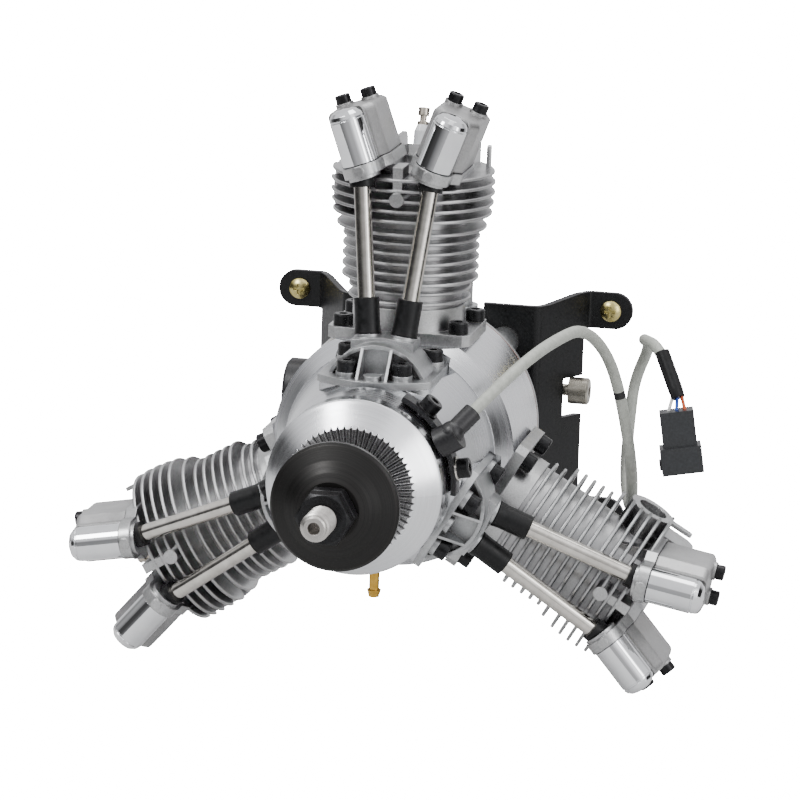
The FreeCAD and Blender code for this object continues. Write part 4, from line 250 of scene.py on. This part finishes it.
def smooth_surface(name, low, high, rough, metallic=0.0, scale=400.0, depth=0.00001, bevel=0.0002, **more):
    """Paint, plating, rubber or plastic: even, with slight waves and dust."""
    s = Shader(name, Metallic=metallic, **more)
    wave = s.noise(scale, detail=3.0)
    fine = s.noise(scale * 12.0, detail=2.0)
    s.tint(s.spread(wave, 0.0, 1.0), low, high)
    s.rough(wave, rough * 0.8, rough * 1.25)
    s.bump([(wave, depth), (fine, depth * 0.25)], bevel)
    return s.material


def cable_jacket(name, low, high, mark, axis, half_length):
    """The cable's grey jacket with one black ring about a place on its route."""
    s = Shader(name)
    wave = s.noise(500.0, detail=3.0)
    colour = s.tint(s.spread(wave, 0.0, 1.0), low, high)
    away = s.node("ShaderNodeVectorMath", operation="SUBTRACT")
    s.link(s.coordinates(), away.inputs[0])
    away.inputs[1].default_value = mark
    along = s.node("ShaderNodeVectorMath", operation="DOT_PRODUCT")
    s.link(away.outputs[0], along.inputs[0])
    along.inputs[1].default_value = axis
    length = s.node("ShaderNodeVectorMath", operation="LENGTH")
    s.link(away.outputs[0], length.inputs[0])
    beside = s.math("ABSOLUTE", along.outputs["Value"])
    near = s.math("LESS_THAN", length.outputs["Value"], RING_REACH * MM)
    on_ring = s.math("MULTIPLY", s.math("LESS_THAN", beside, half_length), near)
    made = s.node("ShaderNodeMix", data_type="RGBA")
    s.link(on_ring, made.inputs[0])
    s.link(colour, made.inputs[6])
    made.inputs[7].default_value = (0.012, 0.012, 0.013, 1.0)
    s.link(made.outputs[2], s.shader.inputs["Base Color"])
    s.rough(wave, 0.36, 0.52)
    s.bump([(wave, 0.00003), (s.noise(6000.0, detail=2.0), 0.00001)])
    return s.material


# The middle of the cable's black ring mark and the cable's direction there.
RING_MARK = (74.2, 16.6, 17.0)
RING_AXIS = (0.204, 0.264, -0.943)
RING_HALF_LENGTH = 1.35
# Past this distance from its middle the mark ends, so that no other stretch of the cable gets one.
RING_REACH = 4.0

# The darkest crevice colour given to each casting stands for grime and painted shade.
mats = {
    "turned_bright": turned_metal("turned_bright", (0.70, 0.71, 0.73), (0.88, 0.89, 0.91), 0.21),
    "hub_teeth": cast_metal("hub_teeth", (0.62, 0.62, 0.63), (0.82, 0.82, 0.83), 0.26, grain=5000.0,
                            depth=0.00001, bevel=0.0, dirt_and_shade=(0.12, 0.12, 0.12), reach=0.0016),
    "turned_case": turned_metal("turned_case", (0.60, 0.61, 0.63), (0.80, 0.81, 0.83), 0.25,
                                lines=3500.0, depth=0.000004),
    "washer_black": turned_metal("washer_black", (0.004, 0.004, 0.004), (0.022, 0.020, 0.019), 0.36,
                                 lines=3800.0, depth=0.000008, anisotropic=0.4, metallic=0.6),
    "shaft_steel": turned_metal("shaft_steel", (0.42, 0.40, 0.38), (0.62, 0.60, 0.57), 0.30,
                                anisotropic=0.3),
    "cast": cast_metal("cast", (0.42, 0.43, 0.435), (0.62, 0.63, 0.635), 0.36),
    "cast_fins": cast_metal("cast_fins", (0.42, 0.425, 0.425), (0.62, 0.625, 0.625), 0.32, grain=1900.0,
                            bevel=0.0005, dirt_and_shade=(0.40, 0.40, 0.405), reach=0.005),
    "cover_grey": cast_metal("cover_grey", (0.35, 0.35, 0.35), (0.50, 0.50, 0.50), 0.42, metallic=0.9,
                             bevel=0.0008),
    "chrome": smooth_surface("chrome", (0.82, 0.83, 0.85), (0.91, 0.92, 0.93), 0.035, metallic=1.0,
                             scale=120.0, depth=0.00001),
    "tube_steel": smooth_surface("tube_steel", (0.60, 0.575, 0.53), (0.76, 0.73, 0.68), 0.16, metallic=1.0,
                                 scale=300.0, depth=0.000004),
    "steel": smooth_surface("steel", (0.50, 0.50, 0.50), (0.66, 0.66, 0.66), 0.22, metallic=1.0),
    "screw_black": smooth_surface("screw_black", (0.004, 0.004, 0.005), (0.016, 0.016, 0.018), 0.30,
                                  metallic=0.5, scale=900.0, depth=0.00001, bevel=0.0003),
    "rubber": smooth_surface("rubber", (0.002, 0.002, 0.0025), (0.007, 0.007, 0.008), 0.42, scale=600.0,
                             depth=0.00003, bevel=0.0006, Specular_IOR_Level=0.3),
    "plastic_black": smooth_surface("plastic_black", (0.006, 0.006, 0.007), (0.015, 0.015, 0.017), 0.38,
                                    scale=1200.0, depth=0.00001, bevel=0.0005),
    "connector_grey": smooth_surface("connector_grey", (0.014, 0.015, 0.017), (0.026, 0.028, 0.031), 0.36,
                                     scale=1200.0, depth=0.00001, bevel=0.0004),
    "bracket_black": smooth_surface("bracket_black", (0.004, 0.004, 0.0045), (0.012, 0.012, 0.013), 0.34,
                                    scale=900.0, depth=0.00002, bevel=0.0006, Specular_IOR_Level=0.3),
    "zinc": smooth_surface("zinc", (0.46, 0.38, 0.12), (0.66, 0.58, 0.28), 0.26, metallic=1.0),
    "brass": smooth_surface("brass", (0.50, 0.28, 0.04), (0.68, 0.42, 0.09), 0.22, metallic=1.0),
    "terminal_brass": smooth_surface("terminal_brass", (0.46, 0.42, 0.36), (0.62, 0.57, 0.49), 0.26,
                                     metallic=1.0),
    "bronze_grey": smooth_surface("bronze_grey", (0.34, 0.32, 0.27), (0.50, 0.47, 0.41), 0.30, metallic=1.0),
    "gasket": smooth_surface("gasket", (0.22, 0.07, 0.045), (0.34, 0.13, 0.09), 0.7, scale=1500.0,
                             depth=0.00003),
    "porcelain": smooth_surface("porcelain", (0.70, 0.72, 0.74), (0.84, 0.85, 0.86), 0.12, scale=200.0,
                                depth=0.000003, Coat_Weight=0.5),
    "cable": cable_jacket("cable", (0.36, 0.375, 0.335), (0.46, 0.475, 0.43), place(*RING_MARK), RING_AXIS,
                          RING_HALF_LENGTH * MM),
    "wire_white": smooth_surface("wire_white", (0.70, 0.70, 0.68), (0.82, 0.82, 0.80), 0.35),
    "wire_blue": smooth_surface("wire_blue", (0.02, 0.07, 0.42), (0.04, 0.12, 0.55), 0.35),
    "wire_orange": smooth_surface("wire_orange", (0.60, 0.08, 0.02), (0.74, 0.14, 0.04), 0.35),
    "magnet": smooth_surface("magnet", (0.03, 0.03, 0.03), (0.08, 0.08, 0.08), 0.3, metallic=1.0),
}


def paint(name, *slots, rule=None):
    """Give a CAD node its materials; the rule picks one by a face's centre."""
    data = nodes[name].data
    data.materials.clear()
    for slot in slots:
        data.materials.append(mats[slot])
    for face in data.polygons:
        face.material_index = rule(face.center) if rule else 0


def crank_distance(point):
    return math.hypot(point.x, point.z - AXIS_Z) / MM


def station(point):
    return (point.y - CYLINDER_Y) / MM


def islands(data):
    """The separate solids of a mesh: for each face, a number that all faces of its solid share."""
    weld = {}
    parent = {}

    def root(key):
        while parent[key] != key:
            parent[key] = parent[parent[key]]
            key = parent[key]
        return key

    keys = []
    for vertex in data.vertices:
        key = tuple(round(c, 7) for c in vertex.co)
        weld.setdefault(key, len(weld))
        keys.append(weld[key])
        parent.setdefault(weld[key], weld[key])
    for face in data.polygons:
        first = root(keys[face.vertices[0]])
        for vertex in face.vertices[1:]:
            other = root(keys[vertex])
            if other != first:
                parent[other] = first
    return [root(keys[face.vertices[0]]) for face in data.polygons]


def paint_solids(name, slots, rule):
    """Give each solid of a node a material, picked from its box's centre and size."""
    data = nodes[name].data
    data.materials.clear()
    for slot in slots:
        data.materials.append(mats[slot])
    labels = islands(data)
    boxes = {}
    for face, label in zip(data.polygons, labels):
        for vertex in face.vertices:
            point = data.vertices[vertex].co
            low, high = boxes.setdefault(label, (point.copy(), point.copy()))
            for axis in range(3):
                low[axis] = min(low[axis], point[axis])
                high[axis] = max(high[axis], point[axis])
    picks = {label: rule((low + high) / 2.0, high - low) for label, (low, high) in boxes.items()}
    for face, label in zip(data.polygons, labels):
        face.material_index = picks[label]


plain = {
    "crankshaft": "shaft_steel", "prop_washer": "washer_black", "prop_nuts": "screw_black",
    "idler_gear": "steel", "cam_ring": "steel", "throttle_valve": "steel", "crankcase": "turned_case",
    "front_housing": "turned_case", "rear_cover": "cast", "case_gasket": "gasket", "main_bearings": "steel",
    "tappet_housings": "cast", "rocker_covers": "cover_grey", "rocker_cover_caps": "chrome",
    "cover_seals": "rubber", "rocker_shafts": "steel", "valve_springs": "steel",
    "small_cap_screws": "screw_black", "pushrod_tubes": "tube_steel", "pushrod_seals": "rubber",
    "intake_pipes": "cast", "mount_bracket": "bracket_black", "bracket_screws": "screw_black",
    "firewall_screws": "zinc", "hose_nipples": "brass", "sensor_holder": "plastic_black",
    "cable_sleeve": "rubber",
}
for number in range(1, CYLINDERS + 1):
    plain["piston_%d" % number] = "cast"
    plain["connecting_rod_%d" % number] = "cast"
    plain["cylinder_%d" % number] = "cast_fins"
    for side in ("intake", "exhaust"):
        for kind in ("pushrod", "rocker", "valve"):
            plain["%s_%d_%s" % (kind, number, side)] = "steel"
for name, slot in plain.items():
    paint(name, slot)

# The hub's magnet is smaller than this. Its face teeth lie in front of this station, between these radii.
MAGNET_SIZE = 10.0 * MM
HUB_TEETH_STATION = -91.9
HUB_TEETH_INNER = 15.3
HUB_TEETH_OUTER = 22.2
# The sensor's bright screws are thinner than this and lie in front of this station.
SENSOR_SCREW_SIZE = 5.5 * MM
SENSOR_SCREW_STATION = -60.5


def sensor_screw(centre, size):
    return int(min(size) < SENSOR_SCREW_SIZE and station(centre) < SENSOR_SCREW_STATION)


paint_solids("drive_hub", ("turned_bright", "magnet"), lambda centre, size: int(max(size) < MAGNET_SIZE))
hub = nodes["drive_hub"].data
hub.materials.append(mats["hub_teeth"])
for face in hub.polygons:
    on_teeth = HUB_TEETH_INNER < crank_distance(face.center) < HUB_TEETH_OUTER
    if station(face.center) < HUB_TEETH_STATION and on_teeth:
        face.material_index = 2
paint_solids("cap_screws", ("screw_black", "tube_steel"), sensor_screw)


# The plug's lean, its foot as distance from the crankshaft and station, and its parts' ends along it.
PLUG_LEAN = math.radians(17.0)
PLUG_FOOT = (83.6, 5.2)
PLUG_SHELL_END = 19.6
PLUG_INSULATOR_END = 27.2


def plug_part(point):
    """Steel, porcelain or brass, by how far along the leaning plug the place lies."""
    out = crank_distance(point) - PLUG_FOOT[0]
    along = out * math.cos(PLUG_LEAN) + (station(point) - PLUG_FOOT[1]) * math.sin(PLUG_LEAN)
    return 0 if along < PLUG_SHELL_END else (1 if along < PLUG_INSULATOR_END else 2)


paint("spark_plugs", "steel", "porcelain", "terminal_brass", rule=plug_part)


# The middle of the carburettor's pump cover lies between these places, and its stop screw's beyond the last.
# The elbow, the insulator and the body share corners, so they count as one solid. It and the funnel are black.
PUMP_COVER_SIDES = (-36.0, -12.0)
STOP_SCREW_SIDE = 20.0


def carburettor_part(centre, size):
    x = centre.x / MM
    if x > STOP_SCREW_SIDE:
        return 1
    return 0 if PUMP_COVER_SIDES[0] < x < PUMP_COVER_SIDES[1] else 2


paint_solids("carburettor", ("cast", "bronze_grey", "plastic_black"), carburettor_part)


# The connector's wires are smaller than its body and lie side by side, parted at these places.
CONNECTOR_BODY_SIZE = 15.0 * MM
WIRE_PARTINGS = (94.4, 96.4)


def connector_part(centre, size):
    if max(size) > CONNECTOR_BODY_SIZE:
        return 0
    x = centre.x / MM
    return 1 if x < WIRE_PARTINGS[0] else (2 if x < WIRE_PARTINGS[1] else 3)


paint_solids("cable_connector", ("connector_grey", "wire_white", "wire_blue", "wire_orange"), connector_part)


# The sensor's cable, along the route of the part's own source, with its last loop a little lower

CABLE_RADIUS = 2.1
CABLE_ROUTE = [
    (37.8, -72.0, 26.5), (45.6, -64.5, 35.2), (52.6, -48.0, 41.6), (58.3, -28.2, 44.5), (63.7, -8.2, 45.1),
    (69.8, 7.2, 34.9), (74.0, 17.7, 18.5), (79.9, 20.1, -11.8), (77.5, 34.2, -31.6), (71.1, 57.1, -22.3),
    (72.3, 57.0, 1.2), (72.6, 62.0, 12.9), (78.9, 56.5, 27.9), (78.2, 35.7, 34.0), (87.3, 21.9, 34.1),
    (92.2, 17.3, 24.7),
]


def add_cable():
    data = bpy.data.curves.new("cable", "CURVE")
    data.dimensions = "3D"
    data.resolution_u = 16
    data.bevel_depth = CABLE_RADIUS * MM
    data.bevel_resolution = 6
    data.use_fill_caps = True
    spline = data.splines.new("NURBS")
    spline.points.add(len(CABLE_ROUTE) - 1)
    for target, point in zip(spline.points, CABLE_ROUTE):
        target.co = (*place(*point), 1.0)
    spline.order_u = 3
    spline.use_endpoint_u = True
    cable = bpy.data.objects.new("sensor_cable_round", data)
    bpy.context.scene.collection.objects.link(cable)
    data.materials.append(mats["cable"])
    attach(cable, "engine")
    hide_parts("sensor_cable")


add_cable()


# Floor, light and surroundings

FLOOR_DROP = 25.0 * MM
FLOOR_RADIUS = 0.8
# What the floor gives off to the metal, and what it and the world give off to the camera.
FLOOR_GLOW = 0.15
WHITE = 24.0


def add_stage():
    low = cad_bounds[0][2] - FLOOR_DROP
    mesh = bpy.data.meshes.new("floor")
    shape = bmesh.new()
    bmesh.ops.create_circle(shape, cap_ends=True, segments=96, radius=FLOOR_RADIUS,
                            matrix=Matrix.Translation((0, CYLINDER_Y, low)))
    shape.to_mesh(mesh)
    shape.free()
    floor = bpy.data.objects.new("floor", mesh)
    bpy.context.scene.collection.objects.link(floor)
    s = Shader("floor", Roughness=0.9, Emission_Color=(1.0, 1.0, 1.0))
    s.tint(s.noise(2.0), (0.42, 0.42, 0.42), (0.46, 0.46, 0.46))
    seen = s.node("ShaderNodeLightPath").outputs["Is Camera Ray"]
    s.link(s.spread(seen, FLOOR_GLOW, WHITE, 0.0, 1.0), s.shader.inputs["Emission Strength"])
    mesh.materials.append(s.material)


add_stage()


def add_light(name, location, target, size, power):
    data = bpy.data.lights.new(name, "AREA")
    data.shape = "RECTANGLE"
    data.size, data.size_y = size
    data.energy = power
    light = bpy.data.objects.new(name, data)
    bpy.context.scene.collection.objects.link(light)
    light.location = location
    light.rotation_euler = (Vector(target) - Vector(location)).to_track_quat("-Z", "Y").to_euler()


add_light("key", (-0.9, -1.1, 1.5), (0, -0.1, 0), (0.8, 0.8), 26.0)
add_light("fill", (1.5, -0.9, 0.6), (0, -0.1, 0), (0.35, 1.2), 6.0)
add_light("top", (0.2, 0.3, 1.6), (0, -0.1, 0), (1.4, 0.8), 14.0)


# The brightness by height, from straight below to straight above.
SKY = ((0.0, 0.2), (0.40, 0.0), (0.62, 0.0), (0.74, 0.55), (1.0, 0.62))
# The panels by direction: 0 and 1 are the camera's side, 0.5 is behind the engine, 0.75 is to its right.
PANELS = ((0.0, 0.26), (0.05, 0.16), (0.12, 0.04), (0.22, 0.015), (0.30, 0.08), (0.36, 0.40), (0.44, 0.60),
          (0.56, 0.60), (0.64, 0.25), (0.68, 0.01), (0.76, 0.015), (0.80, 0.90), (0.88, 1.0), (0.92, 0.45),
          (0.95, 0.28), (1.0, 0.26))
WORLD_STRENGTH = 1.8


def set_stops(ramp, stops):
    elements = ramp.color_ramp.elements
    while len(elements) < len(stops):
        elements.new(0.5)
    for element, (position, value) in zip(elements, stops):
        element.position = position
        element.color = (value, value, value * 1.02, 1.0)


def add_world():
    """A studio: white overhead, light and dark panels round the object, white behind it for the camera."""
    world = bpy.data.worlds.new("studio")
    bpy.context.scene.world = world
    world.use_nodes = True
    tree = world.node_tree
    background = tree.nodes["Background"]
    coordinates = tree.nodes.new("ShaderNodeTexCoord")
    split = tree.nodes.new("ShaderNodeSeparateXYZ")
    ramp = tree.nodes.new("ShaderNodeValToRGB")
    tree.links.new(coordinates.outputs["Generated"], split.inputs[0])
    scaled = tree.nodes.new("ShaderNodeMapRange")
    scaled.inputs["From Min"].default_value = -1.0
    tree.links.new(split.outputs[2], scaled.inputs["Value"])
    tree.links.new(scaled.outputs[0], ramp.inputs[0])
    set_stops(ramp, SKY)
    turn = tree.nodes.new("ShaderNodeMath")
    turn.operation = "ARCTAN2"
    tree.links.new(split.outputs[0], turn.inputs[0])
    tree.links.new(split.outputs[1], turn.inputs[1])
    part_turn = tree.nodes.new("ShaderNodeMapRange")
    part_turn.inputs["From Min"].default_value = -math.pi
    part_turn.inputs["From Max"].default_value = math.pi
    tree.links.new(turn.outputs[0], part_turn.inputs["Value"])
    panels = tree.nodes.new("ShaderNodeValToRGB")
    tree.links.new(part_turn.outputs[0], panels.inputs[0])
    set_stops(panels, PANELS)
    low_light = tree.nodes.new("ShaderNodeMix")
    low_light.data_type = "RGBA"
    low_light.blend_type = "LIGHTEN"
    low_light.inputs[0].default_value = 1.0
    tree.links.new(ramp.outputs[0], low_light.inputs[6])
    tree.links.new(panels.outputs[0], low_light.inputs[7])
    seen = tree.nodes.new("ShaderNodeLightPath")
    mixed = tree.nodes.new("ShaderNodeMix")
    mixed.data_type = "RGBA"
    tree.links.new(seen.outputs["Is Camera Ray"], mixed.inputs[0])
    tree.links.new(low_light.outputs[2], mixed.inputs[6])
    mixed.inputs[7].default_value = (WHITE, WHITE, WHITE, 1.0)
    tree.links.new(mixed.outputs[2], background.inputs["Color"])
    background.inputs["Strength"].default_value = WORLD_STRENGTH


add_world()
